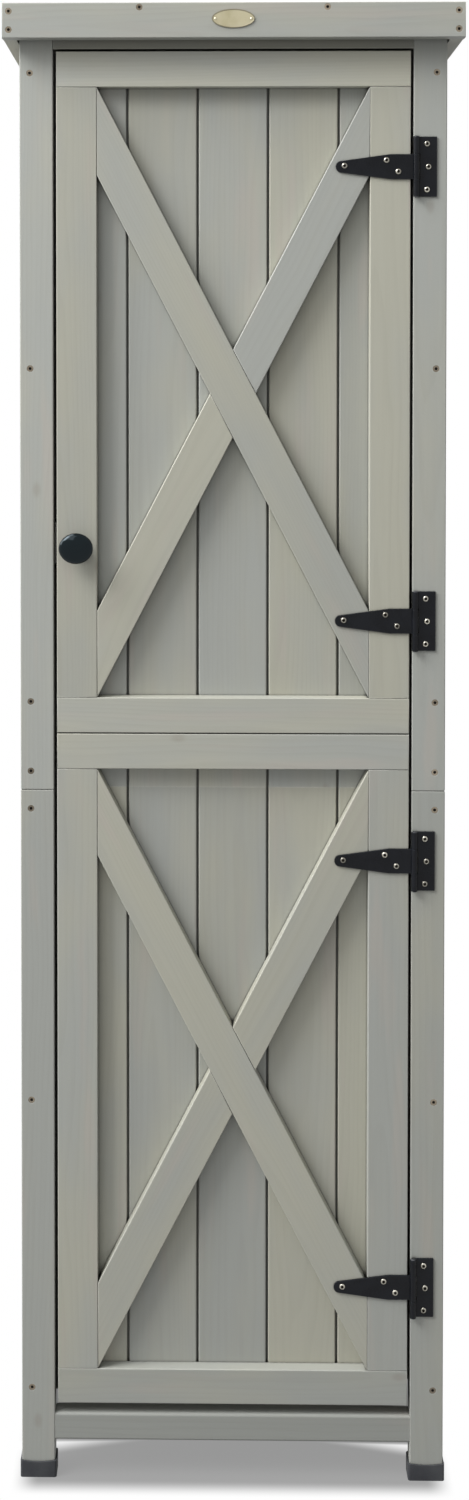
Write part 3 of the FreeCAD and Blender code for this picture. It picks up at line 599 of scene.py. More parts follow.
def make_wood_figure():
    """Colour, roughness and height of stained wood, from coordinates across, through and along the grain."""
    tree, given, out = group_with(
        "wood figure",
        [("Place", "Vector", None), ("Board", "Float", 0.5), ("Cool", "Color", (0.36, 0.37, 0.34, 1)),
         ("Warm", "Color", (0.42, 0.40, 0.31, 1)), ("Pink", "Color", (0.42, 0.37, 0.33, 1)),
         ("Late Wood", "Float", 0.1), ("Shade", "Float", 1.0)],
        [("Colour", "Color"), ("Roughness", "Float"), ("Height", "Float")])
    place = given.outputs["Place"]
    across, through, along = split_axes(tree, place)

    sway = noise(tree, stretched(tree, place, WAVES["sway"]), 1.0, 2.0)
    wave = noise(tree, stretched(tree, place, WAVES["wave"]), 1.0, 1.0)
    radius = sums(tree, "SQRT", sums(tree, "ADD", sums(tree, "MULTIPLY", across, across),
                                     sums(tree, "MULTIPLY", through, through)))
    radius = sums(tree, "MULTIPLY_ADD", sway, RING_SWAY, radius)
    radius = sums(tree, "MULTIPLY_ADD", wave, RING_WAVE, radius)
    ring = sums(tree, "FRACT", sums(tree, "DIVIDE", radius, RING_PITCH))
    late = sums(tree, "MULTIPLY", ramp(tree, ring, 0.35, 0.9), ramp(tree, ring, 0.9, 1.0, 1.0, 0.0))

    fibre = noise(tree, stretched(tree, place, WAVES["fibre"]), 1.0, 2.0, 0.6)
    streak = noise(tree, stretched(tree, place, WAVES["streak"]), 1.0, 3.0, 0.55)
    cloud = noise(tree, stretched(tree, place, WAVES["cloud"], (3.1, 0.4, 7.7)), 1.0, 2.5)
    tone = sums(tree, "MULTIPLY_ADD", given.outputs["Board"], 0.6, -0.55)
    tone = sums(tree, "MULTIPLY_ADD", cloud, 1.5, tone)
    blush = noise(tree, stretched(tree, place, WAVES["blush"], (9.2, 1.1, 2.4)), 1.0, 2.0)

    flat = placed(tree, "CombineXYZ", X=across, Y=sums(tree, "MULTIPLY", along, 0.55))
    knots = placed(tree, "TexVoronoi", Vector=flat.outputs[0], Scale=KNOTS_PER_METRE)
    knots.voronoi_dimensions = "2D"
    knot = ramp(tree, knots.outputs["Distance"], *KNOT_EDGES, 1.0, 0.0)

    # The stain first, then the dark lines of late wood, streaks and fibres, then the knots.
    colour = blended(tree, ramp(tree, tone, 0.1, 0.9), given.outputs["Cool"], given.outputs["Warm"])
    colour = blended(tree, ramp(tree, blush, 0.55, 0.74, 0.0, PINK_SHARE), colour, given.outputs["Pink"])
    dark = sums(tree, "MULTIPLY", late, given.outputs["Late Wood"])
    dark = sums(tree, "MULTIPLY_ADD", ramp(tree, streak, 0.4, 0.75), STREAK_SHARE, dark)
    dark = sums(tree, "MULTIPLY_ADD", ramp(tree, fibre, 0.45, 0.7), FIBRE_SHARE, dark)
    colour = blended(tree, dark, colour, LATE_TONE)
    colour = blended(tree, sums(tree, "MULTIPLY", knot, KNOT_SHARE), colour, KNOT_TONE)
    shaded = placed(tree, "VectorMath")
    shaded.operation = "SCALE"
    feed(tree, shaded.inputs[0], colour)
    feed(tree, shaded.inputs["Scale"], given.outputs["Shade"])
    feed(tree, out.inputs["Colour"], shaded.outputs[0])

    rough = sums(tree, "MULTIPLY_ADD", late, -0.08, sums(tree, "MULTIPLY_ADD", fibre, 0.16, 0.50))
    feed(tree, out.inputs["Roughness"], rough)
    height = sums(tree, "MULTIPLY_ADD", late, 0.5, sums(tree, "MULTIPLY", fibre, 0.5))
    feed(tree, out.inputs["Height"], sums(tree, "MULTIPLY_ADD", knot, 0.6, height))
    return tree


wood_figure = make_wood_figure()
print("wood figure has", len(wood_figure.nodes), "nodes")

# %% [markdown]
# ## Worn and lit edges
#
# Stain and paint thin out on an arris, so edges read a little lighter than the faces beside them; the
# same pale edge is also a painted highlight where an arris catches the light. The Bevel node gives the
# normal of a rounded edge. Where it differs from the real normal there is an edge, and that difference
# is the mask. Upper arrises get the whole mask and lower ones less, a painted highlight of light from
# above. In joints and grooves little light comes in, so a thin dark line of painted shade is drawn
# there. Ambient Occlusion over a few millimetres finds those places.

# %% Edge mask
ARRIS = 1.9 * MM
CREVICE_REACH = 4.5 * MM
LOWER_ARRIS_SHARE = 0.6
PATCHY_EDGE_SHARE = 0.62


def make_edge_mask():
    """Two masks: Mask is 1 on open edges, broken up by noise, for wear and painted highlight; Crevice is 1
    deep in a joint, for painted shade.
    """
    tree, given, out = group_with(
        "edge mask", [("Place", "Vector", None), ("Grain", "Float", 120.0)],
        [("Mask", "Float"), ("Crevice", "Float")])
    round_off = placed(tree, "Bevel", Radius=ARRIS)
    round_off.samples = 4
    surface = placed(tree, "NewGeometry")
    dot = placed(tree, "VectorMath")
    dot.operation = "DOT_PRODUCT"
    feed(tree, dot.inputs[0], round_off.outputs[0])
    feed(tree, dot.inputs[1], surface.outputs["Normal"])
    edge = ramp(tree, dot.outputs["Value"], 0.86, 0.99, 1.0, 0.0)
    patch = noise(tree, given.outputs["Place"], given.outputs["Grain"])
    edge = sums(tree, "MULTIPLY", edge, ramp(tree, patch, 0.3, 0.7, PATCHY_EDGE_SHARE, 1.0))
    # Upper arrises keep the whole mask and lower ones less: painted highlight of light from above.
    upwards = split_axes(tree, round_off.outputs[0])[2]
    edge = sums(tree, "MULTIPLY", edge, ramp(tree, upwards, 0.05, 0.45, LOWER_ARRIS_SHARE, 1.0))
    # Crevice is painted shade: dark where Ambient Occlusion finds little open space.
    closed = placed(tree, "AmbientOcclusion", Distance=CREVICE_REACH)
    closed.samples = 4
    feed(tree, out.inputs["Crevice"], ramp(tree, closed.outputs["AO"], 0.25, 0.82, 1.0, 0.0))
    feed(tree, out.inputs["Mask"], sums(tree, "MULTIPLY", edge, ramp(tree, closed.outputs["AO"], 0.15, 0.55)))
    return tree


edge_mask = make_edge_mask()


def place_group(tree, group, **values):
    """A node group placed in a material with its own values."""
    node = placed(tree, "Group")
    node.node_tree = group
    return feed_all(tree, node, values)


def bumped(tree, height, strength, distance):
    """A normal from a height."""
    return placed(tree, "Bump", Height=height, Strength=strength, Distance=distance).outputs[0]


def principled(tree, output, **values):
    """The shader of a material, its sockets set or linked."""
    feed(tree, output.inputs[0], placed(tree, "BsdfPrincipled", **values).outputs[0])


print("edge mask has", len(edge_mask.nodes), "nodes")

# %% [markdown]
# ## The wood's materials
#
# One function makes every wood material from the figure and the edge mask. A piece that is modelled
# below reads the grain that is written into its mesh. The few CAD nodes that keep their shape have none,
# so their material reads Object coordinates, turned until the grain runs along the board.

# %% Wood materials
STAIN = {"Cool": (0.364, 0.375, 0.350, 1), "Warm": (0.412, 0.407, 0.340, 1), "Pink": (0.43, 0.392, 0.348, 1),
         "Late_Wood": 0.05}
INNER = {"Cool": (0.38, 0.375, 0.33, 1), "Warm": (0.45, 0.42, 0.33, 1), "Pink": (0.46, 0.40, 0.335, 1),
         "Late_Wood": 0.12}
# The pale edge tone is worn stain and painted highlight; the near-black crevice tone is painted shade.
WORN_AND_LIT_EDGE_TONE = (0.70, 0.69, 0.645, 1)
EDGE_WEAR_AND_LIGHT = 0.6
CREVICE_SHADE_TONE = (0.02, 0.019, 0.016, 1)
CREVICE_SHADE_SHARE = 0.95
NODE_HEART = (0.031, 0.052, 0.0)
WOOD_BUMP = 0.12 * MM


def grain_of_board(tree):
    """What lay_grain wrote into a board: its place in the tree, its tone and its shade."""
    found = []
    for name, output in (("grain", "Vector"), ("board", "Fac"), ("shade", "Fac")):
        attribute = placed(tree, "Attribute")
        attribute.attribute_name = name
        found.append(attribute.outputs[output])
    return found


def grain_of_node(tree, turn):
    """A place in the tree for a CAD node, turned so that its grain runs along Z."""
    node = placed(tree, "Mapping", Vector=object_place(tree), Location=NODE_HEART, Rotation=turn)
    return node.outputs[0], 0.5, 1.0


def wood(name, colours, turn=None):
    """Stained wood, for pieces with grain coordinates or, with a turn, for CAD nodes."""
    material, tree, output = new_material(name)
    place, board, shade = grain_of_board(tree) if turn is None else grain_of_node(tree, turn)
    figure = place_group(tree, wood_figure, Place=place, Board=board, Shade=shade, **colours)
    edge = place_group(tree, edge_mask, Place=place)
    # Pale arrises: worn stain and painted highlight. Dark crevices: painted shade.
    worn_and_lit_edge = sums(tree, "MULTIPLY", edge.outputs["Mask"], EDGE_WEAR_AND_LIGHT)
    crevice_shade = sums(tree, "MULTIPLY", edge.outputs["Crevice"], CREVICE_SHADE_SHARE)
    colour = blended(tree, worn_and_lit_edge, figure.outputs["Colour"], WORN_AND_LIT_EDGE_TONE)
    colour = blended(tree, crevice_shade, colour, CREVICE_SHADE_TONE)
    principled(tree, output, Base_Color=colour, Roughness=figure.outputs["Roughness"],
               Specular_IOR_Level=0.35, Normal=bumped(tree, figure.outputs["Height"], 0.35, WOOD_BUMP))
    return material


stained = wood("grey stained wood", STAIN)
stained_along_x = wood("grey stained wood along x", STAIN, (0, math.radians(90), 0))
inner = wood("inner wood", INNER)
inner_along_z = wood("inner wood along z", INNER, (0, 0, 0))
print("wood materials ready")

# %% [markdown]
# ## Boards and posts
#
# All the timber is straight stock, so each piece starts as a block of its own size. Then its edges are
# eased as a planer eases them, its ends are cut where a brace or the roof asks for it, and it gets its
# grain. The grain coordinates are written into the mesh as attributes: a material can read them, and
# a diagonal brace carries its grain along itself.

# %% Grain for a board
dice = random.Random(23)
HEART_ASIDE = 0.05
HEART_DEPTH = (0.02, 0.085)
GRAIN_SLOPE = 0.014
GRAIN_START = 6
LIGHTNESS = (0.975, 1.03)
# name: (how warm, how light); all other boards draw these two by lot. The door boards, stiles and
# brace differ in tone from board to board. The header, fascia, sill, bottom rail and lower posts are
# made darker as painted shade, and the door stops much darker as painted shade in the door gaps; the
# top rail, the middle rails and the upper posts are made lighter as painted light.
TONE_AND_PAINTED_LIGHT = {
    "roof_fascia_timber": (0.2, 0.96), "header_rail_timber": (0.6, 0.62),
    "sill_rail_timber": (-1.2, 0.83),
    "door_rails_upper_part": (0.7, 1.06), "door_rails_lower_part.001": (0.55, 1.05),
    "door_rails_upper_part.001": (0.7, 1.20), "door_rails_lower_part": (0.2, 0.95),
    "door_stiles_upper_part": (0.8, 0.95), "door_stiles_upper_part.001": (0.8, 1.03),
    "door_stiles_lower_part": (0.3, 1.0), "door_stiles_lower_part.001": (0.2, 0.99),
    "door_boards_upper_part.001": (0.25, 0.97), "door_boards_upper_part.002": (0.25, 1.0),
    "door_boards_upper_part.003": (0.9, 1.0), "door_boards_upper_part.004": (0.2, 0.93),
    "door_boards_lower_part.001": (0.25, 0.96), "door_boards_lower_part.002": (0.25, 0.94),
    "door_boards_lower_part.003": (0.8, 1.0), "door_boards_upper_part": (0.1, 1.0),
    "door_brace_long_upper_timber": (0.5, 0.97),
    "door_stops_part": (0.0, 0.2), "door_stops_part.001": (0.0, 0.2),
    "front_post_upper_left_timber": (0.15, 1.05), "front_post_upper_right_timber": (0.15, 1.02),
    "front_post_lower_left_timber": (0.15, 0.97), "front_post_lower_right_timber": (0.15, 0.95),
}


def write_values(piece, name, kind, domain, field, values):
    """Writes an attribute into a piece's mesh."""
    piece.data.attributes.new(name, kind, domain)
    piece.data.attributes[name].data.foreach_set(field, values)


def lay_grain(piece, along, face):
    """Gives a board its own place in the tree, with the grain along one direction."""
    along = Vector(along).normalized()
    face = Vector(face).normalized()
    across = along.cross(face)
    points = [v.co for v in piece.data.vertices]
    middle = sum(points, Vector()) / len(points)
    side = dice.uniform(-HEART_ASIDE, HEART_ASIDE)
    depth = dice.choice((-1, 1)) * dice.uniform(*HEART_DEPTH)
    slope = dice.uniform(-GRAIN_SLOPE, GRAIN_SLOPE)
    start = dice.uniform(-GRAIN_START, GRAIN_START)
    drawn = (dice.random(), dice.uniform(*LIGHTNESS))
    # Listed boards take warmth and lightness from the table above; their lightness is partly painted light.
    warmth, lightness = TONE_AND_PAINTED_LIGHT.get(piece.name, drawn)
    places = []
    for point in points:
        offset = point - middle
        run = offset.dot(along)
        places += [offset.dot(across) + side, offset.dot(face) + depth + slope * run, run + start]
    write_values(piece, "grain", "FLOAT_VECTOR", "POINT", "vector", places)
    write_values(piece, "board", "FLOAT", "POINT", "value", [warmth] * len(points))
    write_values(piece, "shade", "FLOAT", "POINT", "value", [lightness] * len(points))
    return piece


def timber(node, pieces, material=stained):
    """The finished timber of one node."""
    return stands_for(joined(pieces, node + "_timber"), material, node)


print("grain is laid from", len(TONE_AND_PAINTED_LIGHT), "chosen tones and a fixed dice")

# %% Roof slope
post_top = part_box("front_post_upper_left")[1].z
rear_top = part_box("rear_post_left")[1].z
post_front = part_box("front_post_upper_left")[0].y
rear_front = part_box("rear_post_left")[0].y
roof_point = Vector((0, post_front, post_top))
roof_normal = Vector((0, post_top - rear_top, rear_front - post_front)).normalized()
roof_angle = math.atan2(post_top - rear_top, rear_front - post_front)
print("the roof falls", round(math.degrees(roof_angle), 2), "degrees to the rear")

# %% Posts
POST_ROUND = 1.4 * MM
END_BEVEL = 1.6 * MM
HEAD_RADIUS = 4.15 * MM
HEAD_SINK = 0.46 * MM
CONE_DEPTH = 2.0 * MM


def screw_recesses(piece, node):
    """Cuts a countersunk hole for each screw head that meets a piece."""
    low, high = box_around(v.co for v in piece.data.vertices)
    rim_y = low.y + HEAD_SINK
    cutters = []
    for screw_low, screw_high in solids(node):
        middle = (screw_low + screw_high) / 2
        if low.x < middle.x < high.x and low.z < middle.z < high.z:
            middle.y = rim_y + CONE_DEPTH / 2
            cutter = cone("cutter", HEAD_RADIUS, HEAD_RADIUS - CONE_DEPTH, CONE_DEPTH, 40, middle)
            extend(cutter, lies_at("y", rim_y), 0, -2 * HEAD_SINK, 0)
            cutters.append(cutter)
    return carved(piece, joined(cutters, "cutter")) if cutters else piece


def post(name, box, under_roof, screws=None):
    """One length of post: rounded upright edges and a bevel where the lengths meet."""
    low, high = box
    piece = block(name, low, high)
    if under_roof:
        cut(piece, roof_point, roof_normal)
    ease(piece, POST_ROUND, 4, runs_along("z"))
    ease(piece, END_BEVEL, 2, lies_at("z", low.z if under_roof else high.z))
    if screws:
        screw_recesses(piece, screws)
    return lay_grain(piece, (0, 0, 1), (0, -1, 0))


for side in ("left", "right"):
    for level in ("lower", "upper"):
        node = "front_post_" + level + "_" + side
        timber(node, [post(node + "_timber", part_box(node), level == "upper", "post_screws")])
    node = "rear_post_" + side
    timber(node, [post(node + "_part", box, box[1].z > joint_height + PAST_JOINT)
                  for box in split_level(solids(node), joint_height)])

# %% Rails
EASE = 1.2 * MM
SILL_ROUND = 3.5 * MM


def rail(name, box, along, face, test, radius=EASE):
    """A level piece of timber with some of its edges eased."""
    piece = block(name, *box)
    ease(piece, radius, 3, test)
    return lay_grain(piece, along, face)


for side, sign in (("left", -1), ("right", 1)):
    node = "side_rails_" + side
    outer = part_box(node)[0 if sign < 0 else 1].x
    timber(node, [rail(node + "_part", box, (0, 1, 0), (sign, 0, 0), lies_at("x", outer))
                  for box in split_level(solids(node), joint_height)])

rear_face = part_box("rear_rails")[1].y
timber("rear_rails", [rail("rear_rails_part", box, (1, 0, 0), (0, 1, 0), lies_at("y", rear_face))
                      for box in split_level(solids("rear_rails"), joint_height)])

sill_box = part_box("sill_rail")
timber("sill_rail", [rail("sill_rail_timber", sill_box, (1, 0, 0), (0, -1, 0),
                          lambda e: runs_along("x")(e) and lies_at("y", sill_box[0].y)(e), SILL_ROUND)])

header_low, header_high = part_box("header_rail")
header = block("header_rail_timber", header_low, header_high)
cut(header, roof_point, roof_normal)
ease(header, EASE, 3, lambda e: lies_at("y", header_low.y)(e) and lies_at("z", header_low.z)(e))
timber("header_rail", [lay_grain(header, (1, 0, 0), (0, -1, 0))])

# %% [markdown]
# ## Tongue-and-groove boards
#
# Door, sides and back are closed by upright boards that lock into each other. Each has a tongue on one
# edge and a groove in the other, and rounded front arrises, which leave the dark line with a lit edge
# beside it that gives such a wall its rhythm. The middle boards of a row are alike, so one is modelled
# and copied; each copy then gets grain of its own.

# %% A tongued board
BOARD_GAP = 2.4 * MM
TONGUE = 4.0 * MM
TONGUE_BITE = 4.0 * MM
GROOVE_DEPTH = 4.6 * MM
JOINT_SHADE = 0.35
BOARD_ROUND = 1.9 * MM


def tongued_board(width, thickness, length, has_groove, has_tongue):
    """A board with its face at y = 0, from x = 0 to its width and from z = 0 to its length."""
    piece = block("board", (0, 0, 0), (width, thickness, length))
    near = (thickness - TONGUE) / 2
    far = near + TONGUE
    score(piece, (0, near, 0), (0, 1, 0))
    score(piece, (0, far, 0), (0, 1, 0))

    def strip(x):
        return lambda face: (lies_at("x", x)(face) and near < face.calc_center_median().y < far)

    if has_tongue:
        extend(piece, strip(width), BOARD_GAP + TONGUE_BITE, 0, 0)
    if has_groove:
        extend(piece, strip(0), GROOVE_DEPTH, 0, 0)
    ease(piece, BOARD_ROUND, 3, lambda e: runs_along("z")(e) and lies_at("y", 0)(e))
    return piece


def darken_joint(board, face, thickness):
    """Darkens tongue and groove: painted shade where little light comes in, and stain that gathers there."""
    surface = max(v.co.dot(face) for v in board.data.vertices)
    near = (thickness - TONGUE) / 2
    shade = board.data.attributes["shade"].data
    for vertex in board.data.vertices:
        if near - 0.1 * MM < surface - vertex.co.dot(face) < near + TONGUE + 0.1 * MM:
            shade[vertex.index].value *= JOINT_SHADE


print("a tongue ends", round((GROOVE_DEPTH - TONGUE_BITE) / MM, 1), "mm before the floor of its groove")

# %% Rows of boards


def board_row(node, row, turn, face, cut_to_roof):
    """One row of boards, turned about the upright axis so that their faces look one way."""
    turning = Matrix.Rotation(math.radians(turn), 3, "Z")
    run = turning @ Vector((1, 0, 0))
    inward = run - face
    row = sorted(row, key=lambda box: (box[0] + box[1]).dot(run))
    top = max(high.z for low, high in row)
    patterns = {}
    boards = []
    for number, (low, high) in enumerate(row):
        kind = (number > 0, number < len(row) - 1)
        thickness = abs((high - low).dot(face))
        if kind not in patterns:
            width = abs((high - low).dot(run)) - (BOARD_GAP + TONGUE_BITE if kind[1] else 0)
            patterns[kind] = tongued_board(width, thickness, top - low.z, *kind)
        board = copied(patterns[kind], node + "_part")
        board.rotation_euler = (0, 0, math.radians(turn))
        board.location = [(low if inward[i] > 0 else high)[i] for i in (0, 1)] + [low.z]
        settle(board)
        if cut_to_roof and top > joint_height + PAST_JOINT:
            cut(board, roof_point, roof_normal)
        lay_grain(board, (0, 0, 1), face)
        darken_joint(board, face, thickness)
        boards.append(board)
    for pattern in patterns.values():
        bpy.data.objects.remove(pattern)
    return boards


def board_wall(node, turn, face, cut_to_roof):
    """Boards over every solid of a node, one row above the other."""
    boxes = split_level(solids(node), joint_height)
    pieces = []
    for level in sorted({round(low.z, 4) for low, high in boxes}):
        row = [box for box in boxes if round(box[0].z, 4) == level]
        pieces += board_row(node, row, turn, Vector(face), cut_to_roof)
    return timber(node, pieces)


board_wall("door_boards_lower", 0, (0, -1, 0), False)
board_wall("door_boards_upper", 0, (0, -1, 0), False)
board_wall("side_boards_right", 90, (1, 0, 0), True)
board_wall("side_boards_left", -90, (-1, 0, 0), True)
board_wall("back_boards", 180, (0, 1, 0), True)

# %% [markdown]
# ## Door frames and braces
#
# On each half of the door two rails run right across, two stiles stand between them, and a brace runs
# whole from the top left to the bottom right corner. The other brace is cut in two and butts against
# it. Every front edge is eased, so each joint shows as a fine dark line. The braces are blocks the size
# of the opening, cut by the four lines that pass through its corners.

# %% Door frames
BRACE_WIDTH = 49.0 * MM


def framed(name, box, along, screws=None):
    """A piece of frame with all its front edges eased."""
    piece = block(name, *box)
    ease(piece, EASE, 3, lies_at("y", box[0].y))
    if screws:
        screw_recesses(piece, screws)
    return lay_grain(piece, along, (0, -1, 0))


def braces(level):
    """The long and the two short braces of one door half."""
    node = "door_brace_long_" + level
    low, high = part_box(node)
    width, height = high.x - low.x, high.z - low.z
    angle = math.atan2(width, height) + math.asin(BRACE_WIDTH / math.hypot(width, height))
    run = width / math.tan(angle)
    falling = Vector((width, 0, -run))
    rising = Vector((width, 0, run))
    up_from_falling = Vector((run, 0, width)).normalized()
    up_from_rising = Vector((-run, 0, width)).normalized()
    top_left = Vector((low.x, 0, high.z))
    bottom_right = Vector((high.x, 0, low.z))
    top_right = Vector((high.x, 0, high.z))
    bottom_left = Vector((low.x, 0, low.z))

    long_one = block(node + "_timber", low, high)
    cut(long_one, top_left, up_from_falling)
    cut(long_one, bottom_right, -up_from_falling)
    ease(long_one, EASE, 3, lies_at("y", low.y))
    timber(node, [lay_grain(long_one, falling, (0, -1, 0))])

    pieces = []
    for corner, outward in ((bottom_right, up_from_falling), (top_left, -up_from_falling)):
        piece = block("brace_part", low, high)
        cut(piece, top_right, up_from_rising)
        cut(piece, bottom_left, -up_from_rising)
        cut(piece, corner, outward)
        ease(piece, EASE, 3, lies_at("y", low.y))
        pieces.append(lay_grain(piece, rising, (0, -1, 0)))
    timber("door_braces_short_" + level, pieces)


for level in ("lower", "upper"):
    for node, along in (("door_rails_" + level, (1, 0, 0)), ("door_stiles_" + level, (0, 0, 1))):
        timber(node, [framed(node + "_part", box, along) for box in solids(node)])
    braces(level)

# %% Roof timber
timber("roof_fascia", [framed("roof_fascia_timber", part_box("roof_fascia"), (1, 0, 0), "fascia_screws")])


def side_trim(low, high):
    """A trim that falls with the roof, its two long outer edges eased."""
    drop = math.tan(roof_angle) * (high.y - low.y)
    trim = block("trim", (low.x, low.y, low.z + drop), high)
    shift(trim, lies_at("y", high.y), 0, 0, -drop)
    outer = low.x if low.x < 0 else high.x
    ease(trim, EASE, 3, lambda e: lies_at("x", outer)(e) and not runs_along("z")(e))
    return lay_grain(trim, (0, 1, 0), (math.copysign(1, outer), 0, 0))


timber("roof_side_trims", [side_trim(low, high) for low, high in solids("roof_side_trims")])

# %% [markdown]
# ## Shelves, cleats and stops
#
# Inside, four planks make each shelf and lie loose on cleats. They are only seen with the door open,
# but then from close by. They are planed stock again: a block, eased where a hand or a garden tool
# would meet it, and grain of its own. The slots between the planks are part of the design, so they
# come from the solids of the node and are never drawn.

# %% Inner timber
AXES = {"x": (1, 0, 0), "y": (0, 1, 0), "z": (0, 0, 1)}
# node: (the axis of its grain, where its face looks)
INNER_TIMBER = {
    "floor_boards": ("x", (0, 0, 1)), "shelf_lower": ("x", (0, 0, 1)), "shelf_middle": ("x", (0, 0, 1)),
    "shelf_upper": ("x", (0, 0, 1)), "shelf_cleats": ("y", (0, 0, 1)), "door_stops": ("z", (0, -1, 0)),
    "door_joining_batten": ("x", (0, 1, 0)),
}
for node, (axis, face) in INNER_TIMBER.items():
    timber(node, [rail(node + "_part", box, AXES[axis], face, runs_along(axis), EASE / 2)
                  for box in solids(node)], inner)

# %% Timber that keeps its CAD shape


def repaint(node, material):
    """A new material on a CAD node that keeps its shape."""
    frame["nodes"][node].data.materials.clear()
    frame["nodes"][node].data.materials.append(material)
    print(node, "painted", material.name)


repaint("roof_boards", stained_along_x)
repaint("roof_rear_batten", stained_along_x)
repaint("post_dowels", inner_along_z)

# %% [markdown]
# ## Metal and plastic finishes
#
# The hinges are powder coated: nearly black, satin, with the faint orange peel that powder leaves when
# it melts, and a little thinner on the edges, which a painted highlight lightens too. The screws are zinc
# plated steel, bright on the rim, with painted shade in the recess. The knob and the foot caps are moulded
# plastic, one glossy, one matt. One group gives them all their fine unevenness, each with its own grain
# size.

# %% Surface grain


def make_surface_grain():
    """A fine height and a broad cloud, for skins that aren't wood."""
    tree, given, out = group_with(
        "surface grain", [("Grain", "Float", 900.0), ("Cloud", "Float", 25.0)],
        [("Height", "Float"), ("Cloud", "Float")])
    place = object_place(tree)
    for scale, detail, label in (("Grain", 2.0, "Height"), ("Cloud", 3.0, "Cloud")):
        feed(tree, out.inputs[label], noise(tree, place, given.outputs[scale], detail))
    return tree


surface_grain = make_surface_grain()
DIRT_AND_SHADE_TONE = (0.012, 0.010, 0.008, 1)
CLOUDS_PER_METRE = 40.0
EDGE_PATCHES = 400.0
GLOSS_PLAY = 0.12
CLOUD_GLOSS = 0.05


def skin(name, dark, light, edge_tone, edge_share, rough, grain, bump, **rest):
    """A painted, plated or moulded skin.

    Two near tones lie in clouds, the edges go to a third one, as wear and as painted highlight, marked
    faces go dark, the gloss is uneven and the bump fine.
    grain is the number of bumps in a metre, and rest goes to the shader as it is.
    """
    material, tree, output = new_material(name)
    texture = place_group(tree, surface_grain, Grain=grain, Cloud=CLOUDS_PER_METRE)
    edge = place_group(tree, edge_mask, Place=object_place(tree), Grain=EDGE_PATCHES)
    cloud = ramp(tree, texture.outputs["Cloud"], 0.3, 0.7)
    colour = blended(tree, cloud, (*dark, 1), (*light, 1))
    colour = blended(tree, sums(tree, "MULTIPLY", edge.outputs["Mask"], edge_share), colour, (*edge_tone, 1))
    # Marked faces go dark: painted shade in screw recesses, heads dulled by lot, the plate's darkened border.
    dirt_and_shade = placed(tree, "Attribute")
    dirt_and_shade.attribute_name = "dirt_and_shade"
    colour = blended(tree, dirt_and_shade.outputs["Fac"], colour, DIRT_AND_SHADE_TONE)
    gloss = sums(tree, "MULTIPLY_ADD", texture.outputs["Height"], GLOSS_PLAY, rough - GLOSS_PLAY / 2)
    gloss = sums(tree, "MULTIPLY_ADD", cloud, CLOUD_GLOSS, gloss)
    principled(tree, output, Base_Color=colour, Roughness=gloss,
               Normal=bumped(tree, texture.outputs["Height"], bump, 0.1 * MM), **rest)
    return material


print("surface grain has", len(surface_grain.nodes), "nodes")

# %% Skins
powder_black = skin("black powder coat", (0.0042, 0.0048, 0.0066), (0.0070, 0.0080, 0.0108),
                    (0.045, 0.050, 0.060), 0.45, 0.26, 1100.0, 0.4, Specular_IOR_Level=0.165)
pin_black = skin("black pin", (0.022, 0.024, 0.028), (0.035, 0.037, 0.042),
                 (0.35, 0.35, 0.36), 0.6, 0.33, 1300.0, 0.2, Metallic=0.4)
zinc = skin("zinc plate", (0.36, 0.34, 0.29), (0.55, 0.53, 0.46),
            (0.8, 0.78, 0.72), 0.5, 0.30, 2600.0, 0.25, Metallic=1.0)
yellow_zinc = skin("dull yellow zinc", (0.20, 0.165, 0.12), (0.34, 0.29, 0.22),
                   (0.50, 0.46, 0.38), 0.5, 0.42, 2400.0, 0.35, Metallic=0.85)
knob_black = skin("glossy black plastic", (0.0002, 0.0016, 0.0022), (0.0005, 0.0024, 0.0032),
                  (0.002, 0.004, 0.005), 0.2, 0.08, 500.0, 0.05, Specular_IOR_Level=0.25,
                  Specular_Tint=(0.74, 0.90, 1.0, 1))
cap_plastic = skin("matt dark plastic", (0.042, 0.044, 0.050), (0.060, 0.063, 0.068),
                   (0.14, 0.14, 0.145), 0.3, 0.50, 1500.0, 0.5, Specular_IOR_Level=0.25)
white_plastic = skin("white plastic", (0.62, 0.61, 0.58), (0.66, 0.65, 0.62),
                     (0.7, 0.69, 0.67), 0.2, 0.42, 1500.0, 0.3)
iron = skin("dark iron", (0.03, 0.03, 0.032), (0.05, 0.05, 0.054),
            (0.2, 0.2, 0.2), 0.5, 0.45, 1200.0, 0.5, Metallic=0.9)
brass = skin("aged brass", (0.39, 0.35, 0.22), (0.48, 0.44, 0.30),
             (0.60, 0.56, 0.42), 0.3, 0.42, 1800.0, 0.3, Metallic=0.6)
bright_brass = skin("polished brass", (0.66, 0.62, 0.46), (0.78, 0.74, 0.58),
                    (0.9, 0.87, 0.75), 0.3, 0.16, 1800.0, 0.1, Metallic=1.0)
felt = skin("mineral roof felt", (0.022, 0.025, 0.026), (0.075, 0.08, 0.082),
            (0.12, 0.12, 0.12), 0.3, 0.85, 620.0, 1.0)
print("metal, plastic and felt ready")

# %% [markdown]
# ## T-hinges
#
# A T-hinge is two leaves of steel plate and a pin. The long strap lies on the door and narrows to a
# round tip; the short plate stands on the post. Both leaves are rolled round the pin, the strap once in
# the middle, the plate above and below it. So each leaf starts as a flat plane, is cut to its outline,
# gets its thickness by an extrusion, and then its end face is spun round the pin's axis, which is how
# the real barrel is rolled. Four hinges are alike: one is modelled and copied to each height.

# %% Rolled leaves
BARREL = 3.8 * MM
BORE = 1.55 * MM
LEAF = 2.0 * MM
ROLL_ANGLE = math.radians(287)
ROLL_STEPS = 22
ROLL_END = 2.0 * MM


def flat_plane(name, x0, x1, z0, z1, y):
    """An upright plane that looks to the front."""
    return added(bpy.ops.mesh.primitive_plane_add, name, scale=(x1 - x0, z1 - z0, 1), size=1,
                 location=((x0 + x1) / 2, y, (z0 + z1) / 2), rotation=(math.radians(90), 0, 0))


def thicken(piece, depth):
    """Gives a flat plane its thickness, away from the front."""
    choose(piece, "FACE", everything)
    pull(0, depth, 0)
    close_up()


